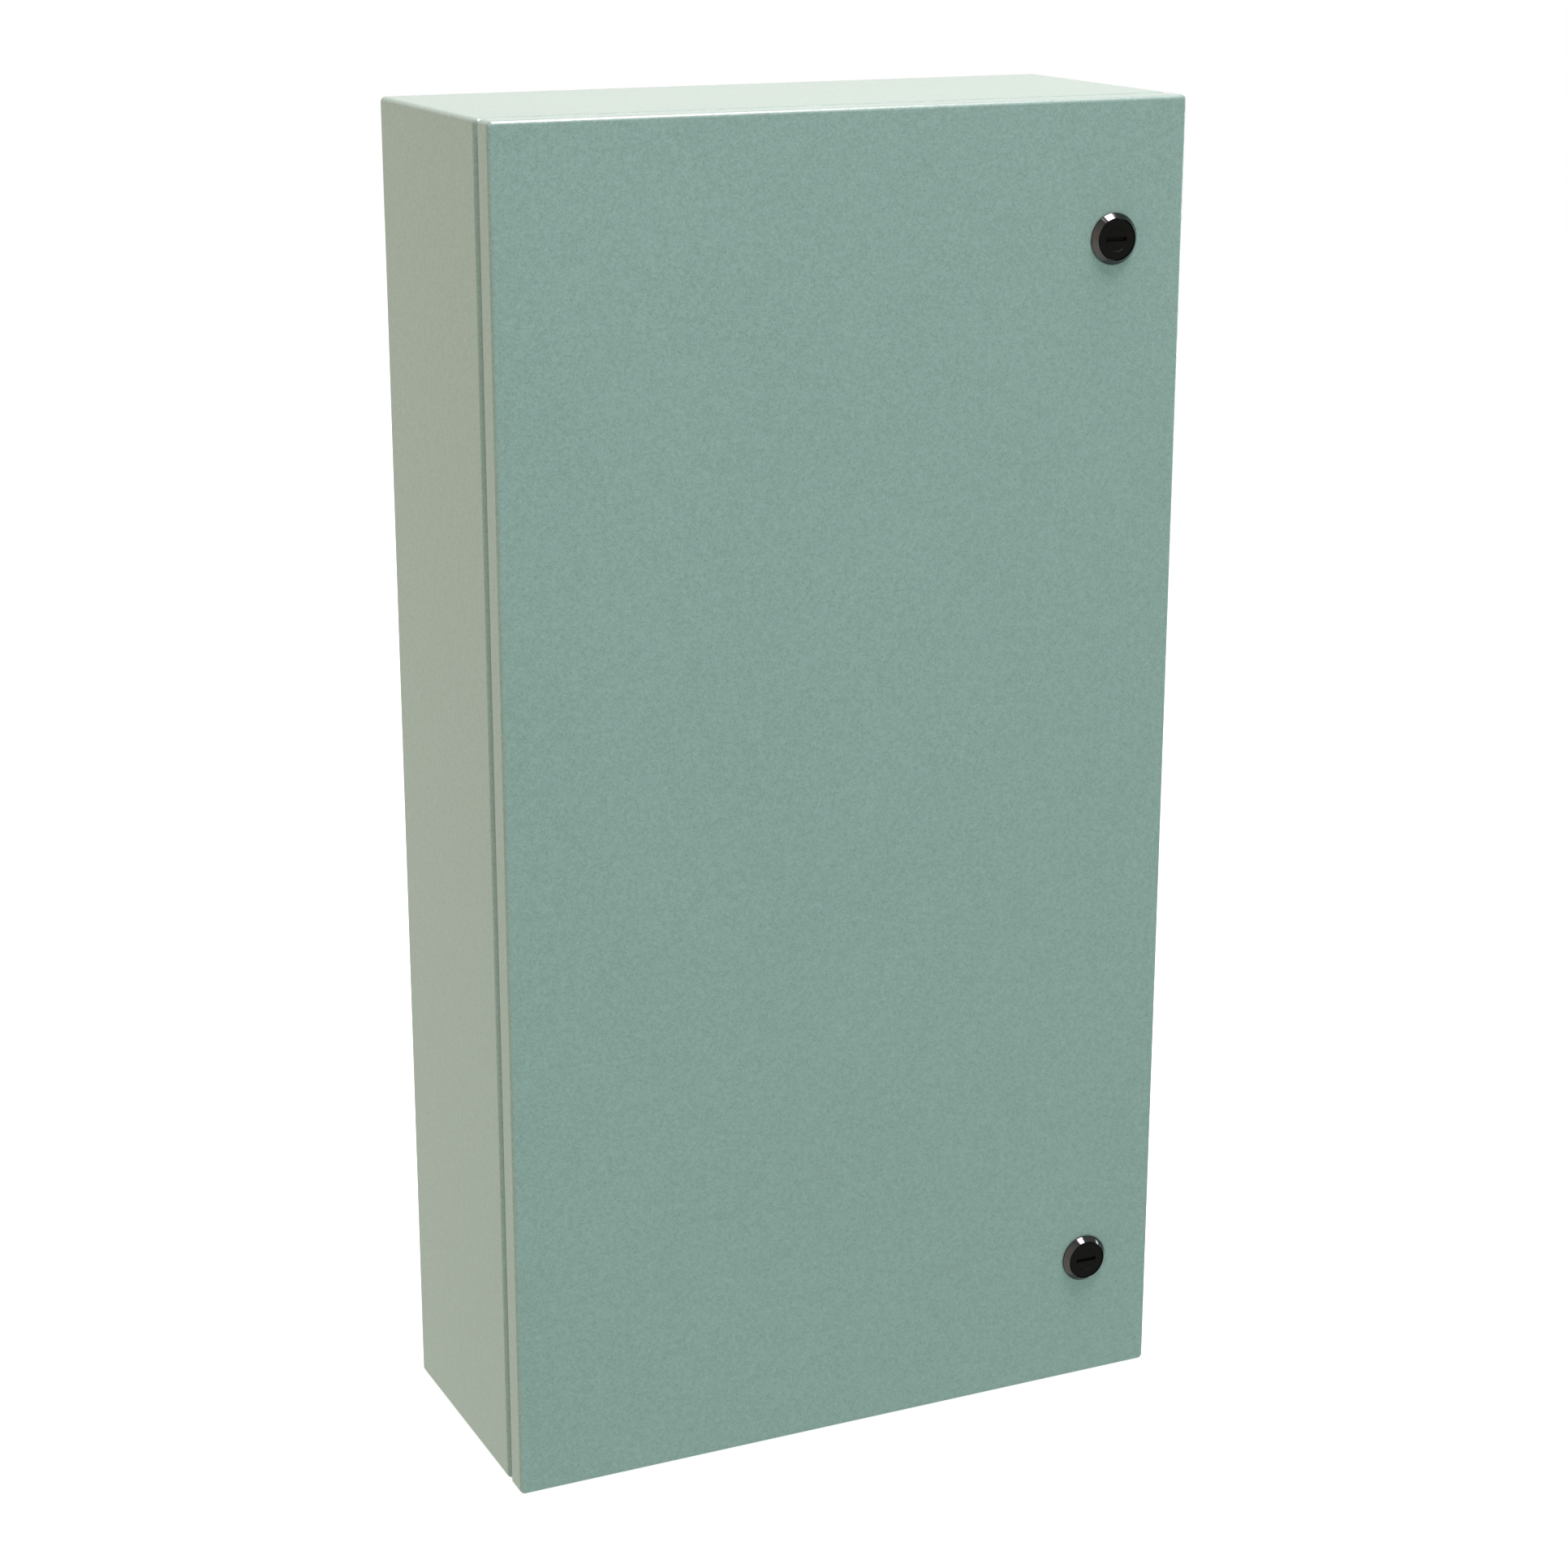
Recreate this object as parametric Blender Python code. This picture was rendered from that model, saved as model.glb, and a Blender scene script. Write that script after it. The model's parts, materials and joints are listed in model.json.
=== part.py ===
"""Wall-mounted sheet-steel switchboard cabinet: one hinged door, two quarter-turn latches.

Metres, +Z up. The origin is the centre of the back wall's outer face. +X is to the right of a person
who faces the door, and +Y points into the wall. An inset is a distance in from the cabinet's outline,
and a depth is a distance behind the door's front face.
"""

import math

import bmesh
import bpy
from mathutils import Matrix, Vector

MM = 0.001

# Fits shared by all pieces.
TOUCH = 0.3 * MM  # between pieces that rest on each other or fit into each other
RUNNING = 0.6 * MM  # between pieces that sweep past each other

# The sheet-metal body and door.
WIDTH = 406.4 * MM
HEIGHT = 762.0 * MM
BODY_DEPTH = 152.4 * MM  # back wall to the front flange
SHEET = 1.5 * MM
EDGE_RADIUS = 3.0 * MM  # upright and level edges of the body and the door
SHARPEST = 0.4 * MM
BACK_BEND = 1.5 * MM  # inside radii of the bends
FLANGE_BEND = 2.2 * MM
LIP_BEND = 1.0 * MM
DOOR_BEND = 1.0 * MM
DOOR_RETURN = 14.9 * MM
DOOR_GAP = 4.5 * MM  # door's folded edge to the body's flange
FLAT_FROM = 30.0 * MM  # inset at which the back wall and the door are flat, past all bends

# Door seal.
GASKET_WIDTH = 9.0 * MM
GASKET_THICKNESS = 5.2 * MM
GASKET_ROUND = 1.5 * MM
GASKET_CORNER = 8.0 * MM

# Hinges, on the left.
HINGE_FROM_END = 95.0 * MM
PIN_INSET = 6.0 * MM
PIN_RADIUS = 2.0 * MM
EYE_WALL = 1.3 * MM
ARM_SHEET = 2.0 * MM
ARM_WIDTH = 26.0 * MM
ARM_BEND = 0.5 * MM
ARM_FOOT = 8.5 * MM
LEAF_BASE = 1.2 * MM
LEAF_REACH = 10.0 * MM
EAR_HEIGHT = 4.0 * MM
PIN_HEAD_RADIUS = 3.2 * MM
PIN_HEAD = 1.4 * MM

# Latches, on the right.
LATCH_INSET = 44.45 * MM
LATCH_FROM_END = 76.2 * MM
LATCH_RADIUS = 14.25 * MM
LATCH_HEIGHT = 4.0 * MM
LATCH_RIM = 1.0 * MM
DISC_RADIUS = 11.2 * MM
DISC_SEAT = 1.8 * MM
DISC_RIM = 0.25 * MM
RECESS_RADIUS = 6.8 * MM
RECESS = 0.4 * MM
SLOT_LENGTH = 13.0 * MM
SLOT_WIDTH = 2.4 * MM
SLOT_DEPTH = 2.2 * MM
BARREL_RADIUS = 10.9 * MM
BARREL_FLATS = 20.0 * MM
BARREL_END_WALL = 2.0 * MM
ROTOR_RADIUS = 8.0 * MM
SPINDLE_RADIUS = 6.0 * MM
SQUARE = 8.0 * MM
SEAL_WIDTH = 1.0 * MM
SEAL_THICKNESS = 0.8 * MM
NUT_FLATS = 27.0 * MM
NUT_THICKNESS = 5.0 * MM
CAM_PLAY = 1.5 * MM  # cam to the back of the body's flange
CAM_THICKNESS = 3.0 * MM
CAM_HUB = 9.0 * MM
CAM_TIP = 6.5 * MM
CAM_LENGTH = 31.0 * MM
CAM_SCREW_RADIUS = 2.6 * MM
CAM_SCREW_DEPTH = 10.0 * MM
CAM_SCREW_FLATS = 10.0 * MM
CAM_SCREW_HEAD = 4.0 * MM
CAM_WASHER_RADIUS = 8.0 * MM
CAM_WASHER = 1.5 * MM

# Mounting panel.
PANEL_MARGIN = 38.1 * MM
PANEL_SHEET = 2.0 * MM
PANEL_CORNER = 4.0 * MM
PANEL_STUD_EDGE = 12.0 * MM
STANDOFF = 14.0 * MM
COLLAR_RADIUS = 7.0 * MM
STUD_RADIUS = 4.0 * MM
STUD_LENGTH = 16.0 * MM
STUD_HOLE_PLAY = 0.6 * MM
PANEL_NUT_FLATS = 13.0 * MM
PANEL_NUT_FLANGE = 8.5 * MM
PANEL_NUT_FLANGE_THICKNESS = 1.5 * MM
PANEL_NUT_HEIGHT = 8.0 * MM

# Holes in the back wall and their plugs.
WALL_HOLE_EDGE_X = 31.75 * MM
WALL_HOLE_EDGE_Z = 25.4 * MM
WALL_HOLE_RADIUS = 4.35 * MM
PLUG_HEAD_RADIUS = 7.5 * MM
PLUG_HEAD = 1.6 * MM

# Gland plate in the bottom.
GLAND_OPENING = (260.0 * MM, 80.0 * MM)
GLAND_OVERLAP = 20.0 * MM
GLAND_SHEET = 2.0 * MM
GLAND_GASKET = 2.5 * MM
GLAND_CORNER = 6.0 * MM
GLAND_SCREW_RADIUS = 2.2 * MM
GLAND_SCREW_FLATS = 8.0 * MM
GLAND_SCREW_HEAD = 3.5 * MM

# Earth studs.
EARTH_RADIUS = 3.0 * MM
EARTH_LENGTH = 16.0 * MM
EARTH_WELD_RADIUS = 4.5 * MM
EARTH_WELD = 1.2 * MM
EARTH_NUT_FLATS = 10.0 * MM
EARTH_NUT = 5.0 * MM
BODY_EARTH_FROM_BACK = 60.0 * MM
BODY_EARTH_FROM_BOTTOM = 60.0 * MM
DOOR_EARTH_INSET = 60.0 * MM
DOOR_EARTH_FROM_BOTTOM = 70.0 * MM

# Document pocket on the door.
POCKET_WIDTH = 190.0 * MM
POCKET_HEIGHT = 130.0 * MM
POCKET_DEPTH = 18.0 * MM
POCKET_WALL = 1.8 * MM
POCKET_NOTCH = 30.0 * MM
POCKET_INSET = 80.0 * MM
POCKET_FROM_BOTTOM = 210.0 * MM

TIP_TAPER = 0.75  # a stud's or pin's tip, as a share of its radius

# Places worked out from the sizes above.
DOOR_FRONT = -(BODY_DEPTH + DOOR_GAP + DOOR_RETURN)
FLANGE_DEPTH = DOOR_RETURN + DOOR_GAP
SKIN_BACK = SHEET
EYE_RADIUS = PIN_RADIUS + TOUCH + EYE_WALL
PIN_DEPTH = SKIN_BACK + TOUCH + LEAF_BASE + TOUCH + EYE_RADIUS
EDGE_SWING = math.hypot(PIN_INSET, max(DOOR_RETURN - PIN_DEPTH, PIN_DEPTH))
ARM_INSET = PIN_INSET + EDGE_SWING + RUNNING
GASKET_INSET = ARM_INSET + ARM_SHEET + TOUCH
LIP_MIDDLE = GASKET_INSET + GASKET_WIDTH / 2
GASKET_BACK = SKIN_BACK + TOUCH + GASKET_THICKNESS
LIP_TIP = GASKET_BACK + TOUCH
CAM_FRONT = FLANGE_DEPTH + SHEET + CAM_PLAY
BARREL_END = CAM_FRONT - TOUCH - BARREL_END_WALL
HINGE_HEIGHTS = {"upper": HEIGHT / 2 - HINGE_FROM_END, "lower": HINGE_FROM_END - HEIGHT / 2}
LATCH_HEIGHTS = {"upper": HEIGHT / 2 - LATCH_FROM_END, "lower": LATCH_FROM_END - HEIGHT / 2}
LATCH_X = WIDTH / 2 - LATCH_INSET
SEAL_INNER = BARREL_RADIUS + 4 * TOUCH
GLAND_MIDDLE = -BODY_DEPTH / 2

# Facets.
ROUND = 32
SMALL_ROUND = 16
HARDWARE_ROUND = 12
LOBE_STEPS = 12
BEND_STEPS = 4
SMOOTH_UNDER = math.radians(35)


def display_colour(red, green, blue):
    """The linear colour of an 8-bit display colour."""
    return tuple(((c / 255 + 0.055) / 1.055) ** 2.4 for c in (red, green, blue)) + (1.0,)


def finish(name, colour, roughness, metallic=0.0):
    material = bpy.data.materials.new(name)
    material.use_nodes = True
    shader = material.node_tree.nodes["Principled BSDF"]
    shader.inputs["Base Color"].default_value = colour
    shader.inputs["Roughness"].default_value = roughness
    shader.inputs["Metallic"].default_value = metallic
    material.diffuse_color = colour
    return material


def clear_scene():
    for thing in list(bpy.data.objects):
        bpy.data.objects.remove(thing, do_unlink=True)


# Outlines: lists of (across, up) points, counter-clockwise, all of one length within a loft.


def circle(radius, count=ROUND):
    turns = [2 * math.pi * k / count for k in range(count)]
    return [(radius * math.cos(a), radius * math.sin(a)) for a in turns]


def flatted_circle(radius, flats, count=ROUND):
    """A circle with a flat on its left and on its right."""
    half = flats / 2
    return [(max(-half, min(half, x)), z) for x, z in circle(radius, count)]


def regular(across_flats, sides, count=HARDWARE_ROUND):
    """A regular polygon with corners among its count points."""
    points = []
    for k in range(count):
        angle = 2 * math.pi * k / count
        sector = 2 * math.pi / sides
        off_middle = angle % sector - sector / 2
        reach = across_flats / 2 / math.cos(sector / 2 - abs(off_middle))
        points.append((reach * math.cos(angle), reach * math.sin(angle)))
    return points


def rounded_rectangle(width, height, radius, steps=BEND_STEPS):
    points = []
    corners = ((1, 1, 0.0), (-1, 1, 0.5), (-1, -1, 1.0), (1, -1, 1.5))
    for side, up, start in corners:
        centre_x = side * (width / 2 - radius)
        centre_z = up * (height / 2 - radius)
        for k in range(steps + 1):
            angle = math.pi * (start + 0.5 * k / steps)
            points.append((centre_x + radius * math.cos(angle), centre_z + radius * math.sin(angle)))
    return points


def moved(outline, across, up):
    return [(x + across, z + up) for x, z in outline]


def at_y(outline, y):
    return [Vector((x, y, z)) for x, z in outline]


def at_z(outline, z):
    return [Vector((x, y, z)) for x, y in outline]


# Solids.


def new_object(name, mesh, material):
    made = bpy.data.objects.new(name, mesh)
    bpy.context.scene.collection.objects.link(made)
    if material is not None:
        mesh.materials.append(material)
    return made


def add_loft(bm, rings, closed):
    """Joins rings of points with side faces. A closed loft ends at its first ring, an open one is capped."""
    loops = [[bm.verts.new(point) for point in ring] for ring in rings]
    pairs = list(zip(loops, loops[1:] + loops[:1] if closed else loops[1:]))
    for ring, following in pairs:
        count = len(ring)
        for k in range(count):
            after = (k + 1) % count
            bm.faces.new((ring[k], ring[after], following[after], following[k]))
    if not closed:
        bm.faces.new(loops[0])
        bm.faces.new(loops[-1])


def mesh_of(name, bm):
    bmesh.ops.recalc_face_normals(bm, faces=bm.faces)
    mesh = bpy.data.meshes.new(name)
    bm.to_mesh(mesh)
    bm.free()
    mesh.shade_smooth()
    mesh.set_sharp_from_angle(angle=SMOOTH_UNDER)
    return mesh


def loft(name, rings, material, closed=False):
    bm = bmesh.new()
    add_loft(bm, rings, closed)
    return new_object(name, mesh_of(name, bm), material)


def cut(target, name, prisms):
    """Cuts several straight prisms, each a pair of rings, out of target."""
    bm = bmesh.new()
    for rings in prisms:
        add_loft(bm, rings, closed=False)
    cutter = new_object(name, mesh_of(name, bm), None)
    cutter.hide_render = True
    cutter.display_type = "WIRE"
    modifier = target.modifiers.new(name, "BOOLEAN")
    modifier.operation = "DIFFERENCE"
    modifier.solver = "EXACT"
    modifier.object = cutter
    if target.parent is None:
        cutter.location = target.location
    return cutter


def axis_empty(name, location, parent=None):
    empty = bpy.data.objects.new(name, None)
    bpy.context.scene.collection.objects.link(empty)
    empty.empty_display_size = 20 * MM
    empty.location = location
    if parent is not None:
        attach(empty, parent)
    return empty


def attach(child, parent):
    """Parents child where it is."""
    bpy.context.view_layer.update()
    child.parent = parent
    child.matrix_parent_inverse = parent.matrix_world.inverted()


# Sheet metal: a path of (inset, y, inside bend radius) down the sheet's middle, given a thickness.


def bent_path(path, thickness, bend_side):
    """(point, normal) pairs along the path, with an arc at each bend. bend_side flips the normals."""
    made = []
    for k, (across, y, radius) in enumerate(path):
        here = Vector((across, y))
        if k in (0, len(path) - 1):
            other = Vector(path[1 if k == 0 else k - 1][:2])
            along = (other - here if k == 0 else here - other).normalized()
            made.append((here, Vector((-along.y, along.x))))
            continue
        before = (Vector(path[k - 1][:2]) - here).normalized()
        after = (Vector(path[k + 1][:2]) - here).normalized()
        turn = -before.x * after.y + before.y * after.x
        middle_radius = radius + thickness / 2
        half = before.angle(after) / 2
        centre = here + (before + after).normalized() * middle_radius / math.sin(half)
        first = here + before * middle_radius / math.tan(half) - centre
        sweep = math.copysign(math.pi - 2 * half, turn)
        for step in range(BEND_STEPS + 1):
            spoke = Matrix.Rotation(sweep * step / BEND_STEPS, 2) @ first
            normal = spoke.normalized() * (-1 if turn > 0 else 1)
            made.append((centre + spoke, normal))
    return [(point, normal * bend_side) for point, normal in made]


def sheet_section(path, thickness, bend_side=1):
    """The closed outline of a bent sheet, up one face and down the other."""
    run = bent_path(path, thickness, bend_side)
    one_face = [point + normal * thickness / 2 for point, normal in run]
    other_face = [point - normal * thickness / 2 for point, normal in run]
    return one_face + other_face[::-1]


def outline_at(inset, corner):
    radius = max(corner - inset, SHARPEST)
    return rounded_rectangle(WIDTH - 2 * inset, HEIGHT - 2 * inset, radius)


def round_the_cabinet(name, section, material, closed=False, corner=EDGE_RADIUS):
    """Carries a section of (inset, y) points round the cabinet's outline."""
    rings = [at_y(outline_at(point[0], corner), point[1]) for point in section]
    return loft(name, rings, material, closed)


def depth(value):
    """The y of a depth behind the door's front face."""
    return DOOR_FRONT + value


# Body.


def build_body(paint):
    half = SHEET / 2
    path = [
        (FLAT_FROM, -half, 0),
        (half, -half, BACK_BEND),
        (half, half - BODY_DEPTH, FLANGE_BEND),
        (LIP_MIDDLE, half - BODY_DEPTH, LIP_BEND),
        (LIP_MIDDLE, depth(LIP_TIP), 0),
    ]
    body = round_the_cabinet("enclosure_body", sheet_section(path, SHEET), paint)
    hole = circle(WALL_HOLE_RADIUS, HARDWARE_ROUND)
    holes = []
    for across, up in wall_holes():
        round_hole = moved(hole, across, up)
        holes.append((at_y(round_hole, -2 * SHEET), at_y(round_hole, SHEET)))
    opening = moved(rounded_rectangle(*GLAND_OPENING, GLAND_CORNER), 0, GLAND_MIDDLE)
    holes.append(through_bottom(opening))
    for across, along in gland_screws():
        screw_hole = circle(GLAND_SCREW_RADIUS + TOUCH, HARDWARE_ROUND)
        holes.append(through_bottom(moved(screw_hole, across, along)))
    cut(body, "body_holes", holes)
    return body


def through_bottom(outline):
    bottom = -HEIGHT / 2
    return at_z(outline, bottom - SHEET), at_z(outline, bottom + 2 * SHEET)


def wall_holes():
    across, up = WIDTH / 2 - WALL_HOLE_EDGE_X, HEIGHT / 2 - WALL_HOLE_EDGE_Z
    return [(side * across, level * up) for level in (1, -1) for side in (-1, 1)]


def gland_screws():
    across = (GLAND_OPENING[0] + GLAND_OVERLAP) / 2
    along = (GLAND_OPENING[1] + GLAND_OVERLAP) / 2
    return [(x, GLAND_MIDDLE + y) for y in (-along, along) for x in (-across, 0, across)]


def build_wall_plugs(rubber):
    inside = -SHEET - TOUCH
    stem = circle(WALL_HOLE_RADIUS - TOUCH, HARDWARE_ROUND)
    head = circle(PLUG_HEAD_RADIUS, HARDWARE_ROUND)
    crown = circle(PLUG_HEAD_RADIUS - PLUG_HEAD / 2, HARDWARE_ROUND)
    rings = [
        at_y(stem, -TOUCH),
        at_y(stem, inside),
        at_y(head, inside),
        at_y(head, inside - PLUG_HEAD / 2),
        at_y(crown, inside - PLUG_HEAD),
    ]
    for number, (across, up) in enumerate(wall_holes(), 1):
        plug = loft(f"wall_hole_plug_{number}", rings, rubber)
        plug.location = (across, 0, up)


def build_gland_plate(paint, rubber, zinc):
    floor = -HEIGHT / 2 + SHEET + TOUCH
    size = [side + 2 * GLAND_OVERLAP for side in GLAND_OPENING]
    outer = moved(rounded_rectangle(*size, GLAND_CORNER), 0, GLAND_MIDDLE)
    opening = moved(rounded_rectangle(*GLAND_OPENING, GLAND_CORNER), 0, GLAND_MIDDLE)
    gasket_top = floor + GLAND_GASKET
    plate_bottom = gasket_top + TOUCH
    plate_top = plate_bottom + GLAND_SHEET
    ring = [at_z(outer, floor), at_z(outer, gasket_top), at_z(opening, gasket_top), at_z(opening, floor)]
    gasket = loft("gland_plate_gasket", ring, rubber, closed=True)
    plate = loft("gland_plate", [at_z(outer, plate_bottom), at_z(outer, plate_top)], paint)
    hole = circle(GLAND_SCREW_RADIUS + TOUCH, HARDWARE_ROUND)
    holes = []
    for across, along in gland_screws():
        round_hole = moved(hole, across, along)
        holes.append((at_z(round_hole, floor - SHEET), at_z(round_hole, plate_top + SHEET)))
    cut(gasket, "gland_gasket_holes", holes)
    cut(plate, "gland_plate_holes", holes)

    under_head = plate_top + TOUCH
    head = regular(GLAND_SCREW_FLATS, 6)
    shank = circle(GLAND_SCREW_RADIUS, HARDWARE_ROUND)
    screw = [
        at_z(head, under_head + GLAND_SCREW_HEAD),
        at_z(head, under_head),
        at_z(shank, under_head),
        at_z(shank, TOUCH - HEIGHT / 2),
    ]
    for number, (across, along) in enumerate(gland_screws(), 1):
        made = loft(f"gland_plate_screw_{number}", screw, zinc)
        made.location = (across, along, 0)


# Mounting panel.


def build_mounting_panel(zinc, bright_zinc):
    size = (WIDTH - 2 * PANEL_MARGIN, HEIGHT - 2 * PANEL_MARGIN)
    collar_back = -SHEET - TOUCH
    collar_front = collar_back - STANDOFF
    panel_back = collar_front - TOUCH
    panel_front = panel_back - PANEL_SHEET
    outline = rounded_rectangle(*size, PANEL_CORNER)
    panel = loft("mounting_panel", [at_y(outline, panel_back), at_y(outline, panel_front)], zinc)
    places = [
        (side * (size[0] / 2 - PANEL_STUD_EDGE), level * (size[1] / 2 - PANEL_STUD_EDGE))
        for level in (1, -1)
        for side in (-1, 1)
    ]
    hole = circle(STUD_RADIUS + STUD_HOLE_PLAY, HARDWARE_ROUND)
    holes = []
    for across, up in places:
        round_hole = moved(hole, across, up)
        holes.append((at_y(round_hole, panel_back + SHEET), at_y(round_hole, panel_front - SHEET)))
    cut(panel, "panel_holes", holes)

    collar = circle(COLLAR_RADIUS, HARDWARE_ROUND)
    thread = circle(STUD_RADIUS, HARDWARE_ROUND)
    stud_tip = collar_front - STUD_LENGTH
    stud = [
        at_y(collar, collar_back),
        at_y(collar, collar_front),
        at_y(thread, collar_front),
        at_y(thread, stud_tip + STUD_RADIUS / 4),
        at_y(circle(STUD_RADIUS * TIP_TAPER, HARDWARE_ROUND), stud_tip),
    ]
    nut_back = panel_front - TOUCH
    nut_flange = nut_back - PANEL_NUT_FLANGE_THICKNESS
    bore = circle(STUD_RADIUS + TOUCH, HARDWARE_ROUND)
    flange = circle(PANEL_NUT_FLANGE, HARDWARE_ROUND)
    flats = regular(PANEL_NUT_FLATS, 6)
    nut = [
        at_y(flange, nut_back),
        at_y(flange, nut_flange),
        at_y(flats, nut_flange),
        at_y(flats, nut_back - PANEL_NUT_HEIGHT),
        at_y(bore, nut_back - PANEL_NUT_HEIGHT),
        at_y(bore, nut_back),
    ]
    for number, (across, up) in enumerate(places, 1):
        loft(f"panel_stud_{number}", stud, bright_zinc).location = (across, 0, up)
        loft(f"panel_nut_{number}", nut, bright_zinc, closed=True).location = (across, 0, up)


# Earth studs: made along +Y from a face at y = 0, then turned and placed.


def build_earth_stud(owner, zinc, brass, location, turn):
    weld = circle(EARTH_WELD_RADIUS, HARDWARE_ROUND)
    thread = circle(EARTH_RADIUS, HARDWARE_ROUND)
    nut_start = TOUCH + EARTH_WELD + TOUCH
    stud = [
        at_y(weld, TOUCH),
        at_y(weld, TOUCH + EARTH_WELD),
        at_y(thread, TOUCH + EARTH_WELD),
        at_y(thread, EARTH_LENGTH - EARTH_RADIUS / 4),
        at_y(circle(EARTH_RADIUS * TIP_TAPER, HARDWARE_ROUND), EARTH_LENGTH),
    ]
    flats = regular(EARTH_NUT_FLATS, 6)
    bore = circle(EARTH_RADIUS + TOUCH, HARDWARE_ROUND)
    nut = [
        at_y(flats, nut_start),
        at_y(flats, nut_start + EARTH_NUT),
        at_y(bore, nut_start + EARTH_NUT),
        at_y(bore, nut_start),
    ]
    made = [
        loft(f"{owner}_earth_stud", stud, brass),
        loft(f"{owner}_earth_nut", nut, zinc, closed=True),
    ]
    for piece in made:
        piece.rotation_euler = (0, 0, turn)
        piece.location = location
    return made


# Hinges. Sections are drawn in plan, as (x, y) points, and run upwards.


def in_plan(inset, behind):
    """(x, y) of a point at an inset from the left side and a depth behind the door's front face."""
    return Vector((inset - WIDTH / 2, depth(behind)))


def build_hinge_arm(name, height, zinc):
    """An eye round the pin, a run behind the door's skin, a leg back into the gutter and a welded foot."""
    front = PIN_DEPTH - EYE_RADIUS + ARM_SHEET / 2
    leg = ARM_INSET + ARM_SHEET / 2
    foot = FLANGE_DEPTH - TOUCH - ARM_SHEET / 2
    path = [
        (*in_plan(PIN_INSET, front), 0),
        (*in_plan(leg, front), ARM_BEND),
        (*in_plan(leg, foot), ARM_BEND),
        (*in_plan(ARM_INSET + ARM_SHEET - ARM_FOOT, foot), 0),
    ]
    run = bent_path(path, ARM_SHEET, 1)
    outer = [point - normal * ARM_SHEET / 2 for point, normal in run]
    inner = [point + normal * ARM_SHEET / 2 for point, normal in run]
    pin = in_plan(PIN_INSET, PIN_DEPTH)
    joins = math.asin((EYE_RADIUS - ARM_SHEET) / EYE_RADIUS)
    turn = 1.5 * math.pi + joins
    sweep = [turn * k / LOBE_STEPS - joins for k in range(LOBE_STEPS)]
    eye = [pin + EYE_RADIUS * Vector((math.cos(a), math.sin(a))) for a in sweep]
    section = outer + inner[:0:-1] + eye
    low, high = height - ARM_WIDTH / 2, height + ARM_WIDTH / 2
    arm = loft(name, [at_z(section, low), at_z(section, high)], zinc)
    hole = moved(circle(PIN_RADIUS + TOUCH, SMALL_ROUND), *pin)
    cut(arm, f"{name}_hole", [(at_z(hole, low - SHEET), at_z(hole, high + SHEET))])
    return arm


def build_hinge_leaf(name, height, zinc):
    """A strip on the door's skin with an ear above and an ear below the arm's eye."""
    pin = in_plan(PIN_INSET, PIN_DEPTH)
    base_front = SKIN_BACK + TOUCH
    base_back = base_front + LEAF_BASE
    reach = PIN_INSET + LEAF_REACH
    half_turn = [math.pi * k / LOBE_STEPS for k in range(LOBE_STEPS + 1)]
    lobe = [pin + EYE_RADIUS * Vector((math.cos(a), math.sin(a))) for a in half_turn]
    left = PIN_INSET - EYE_RADIUS
    section = [
        in_plan(left, base_front),
        in_plan(reach, base_front),
        in_plan(reach, base_back),
        in_plan(PIN_INSET + EYE_RADIUS, base_back),
        *lobe,
    ]
    gap = ARM_WIDTH / 2 + TOUCH
    half = gap + EAR_HEIGHT
    leaf = loft(name, [at_z(section, height - half), at_z(section, height + half)], zinc)
    window = [
        in_plan(0, base_back),
        in_plan(reach + SHEET, base_back),
        in_plan(reach + SHEET, PIN_DEPTH + 2 * EYE_RADIUS),
        in_plan(0, PIN_DEPTH + 2 * EYE_RADIUS),
    ]
    cut(leaf, f"{name}_window", [(at_z(window, height - gap), at_z(window, height + gap))])
    hole = moved(circle(PIN_RADIUS + TOUCH, SMALL_ROUND), *pin)
    ends = (height - half - SHEET, height + half + SHEET)
    cut(leaf, f"{name}_hole", [(at_z(hole, ends[0]), at_z(hole, ends[1]))])
    return leaf


def build_hinge_pin(name, height, steel):
    half = ARM_WIDTH / 2 + TOUCH + EAR_HEIGHT
    under_head = half + TOUCH
    shank = circle(PIN_RADIUS, SMALL_ROUND)
    head = circle(PIN_HEAD_RADIUS, SMALL_ROUND)
    rings = [
        at_z(circle(PIN_RADIUS * TIP_TAPER, SMALL_ROUND), -half - EAR_HEIGHT / 2),
        at_z(shank, -half),
        at_z(shank, under_head),
        at_z(head, under_head),
        at_z(head, under_head + PIN_HEAD),
    ]
    pin = loft(name, rings, steel)
    pin.location = (*in_plan(PIN_INSET, PIN_DEPTH), height)
    return pin


# Door.


def build_door(paint):
    half = SHEET / 2
    path = [
        (FLAT_FROM, depth(half), 0),
        (half, depth(half), DOOR_BEND),
        (half, depth(DOOR_RETURN), 0),
    ]
    door = round_the_cabinet("door_panel", sheet_section(path, SHEET), paint)
    hole = flatted_circle(BARREL_RADIUS + TOUCH, BARREL_FLATS + 2 * TOUCH)
    holes = []
    for up in LATCH_HEIGHTS.values():
        barrel_hole = moved(hole, LATCH_X, up)
        holes.append((at_y(barrel_hole, depth(-SHEET)), at_y(barrel_hole, depth(2 * SHEET))))
    cut(door, "latch_holes", holes)
    return door


def build_door_gasket(rubber):
    front, back = depth(SKIN_BACK + TOUCH), depth(GASKET_BACK)
    inner = GASKET_INSET + GASKET_WIDTH
    section = [
        (GASKET_INSET, front),
        (GASKET_INSET, back - GASKET_ROUND),
        (GASKET_INSET + GASKET_ROUND, back),
        (inner - GASKET_ROUND, back),
        (inner, back - GASKET_ROUND),
        (inner, front),
    ]
    corner = GASKET_INSET + GASKET_CORNER
    return round_the_cabinet("door_gasket", section, rubber, closed=True, corner=corner)


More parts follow.
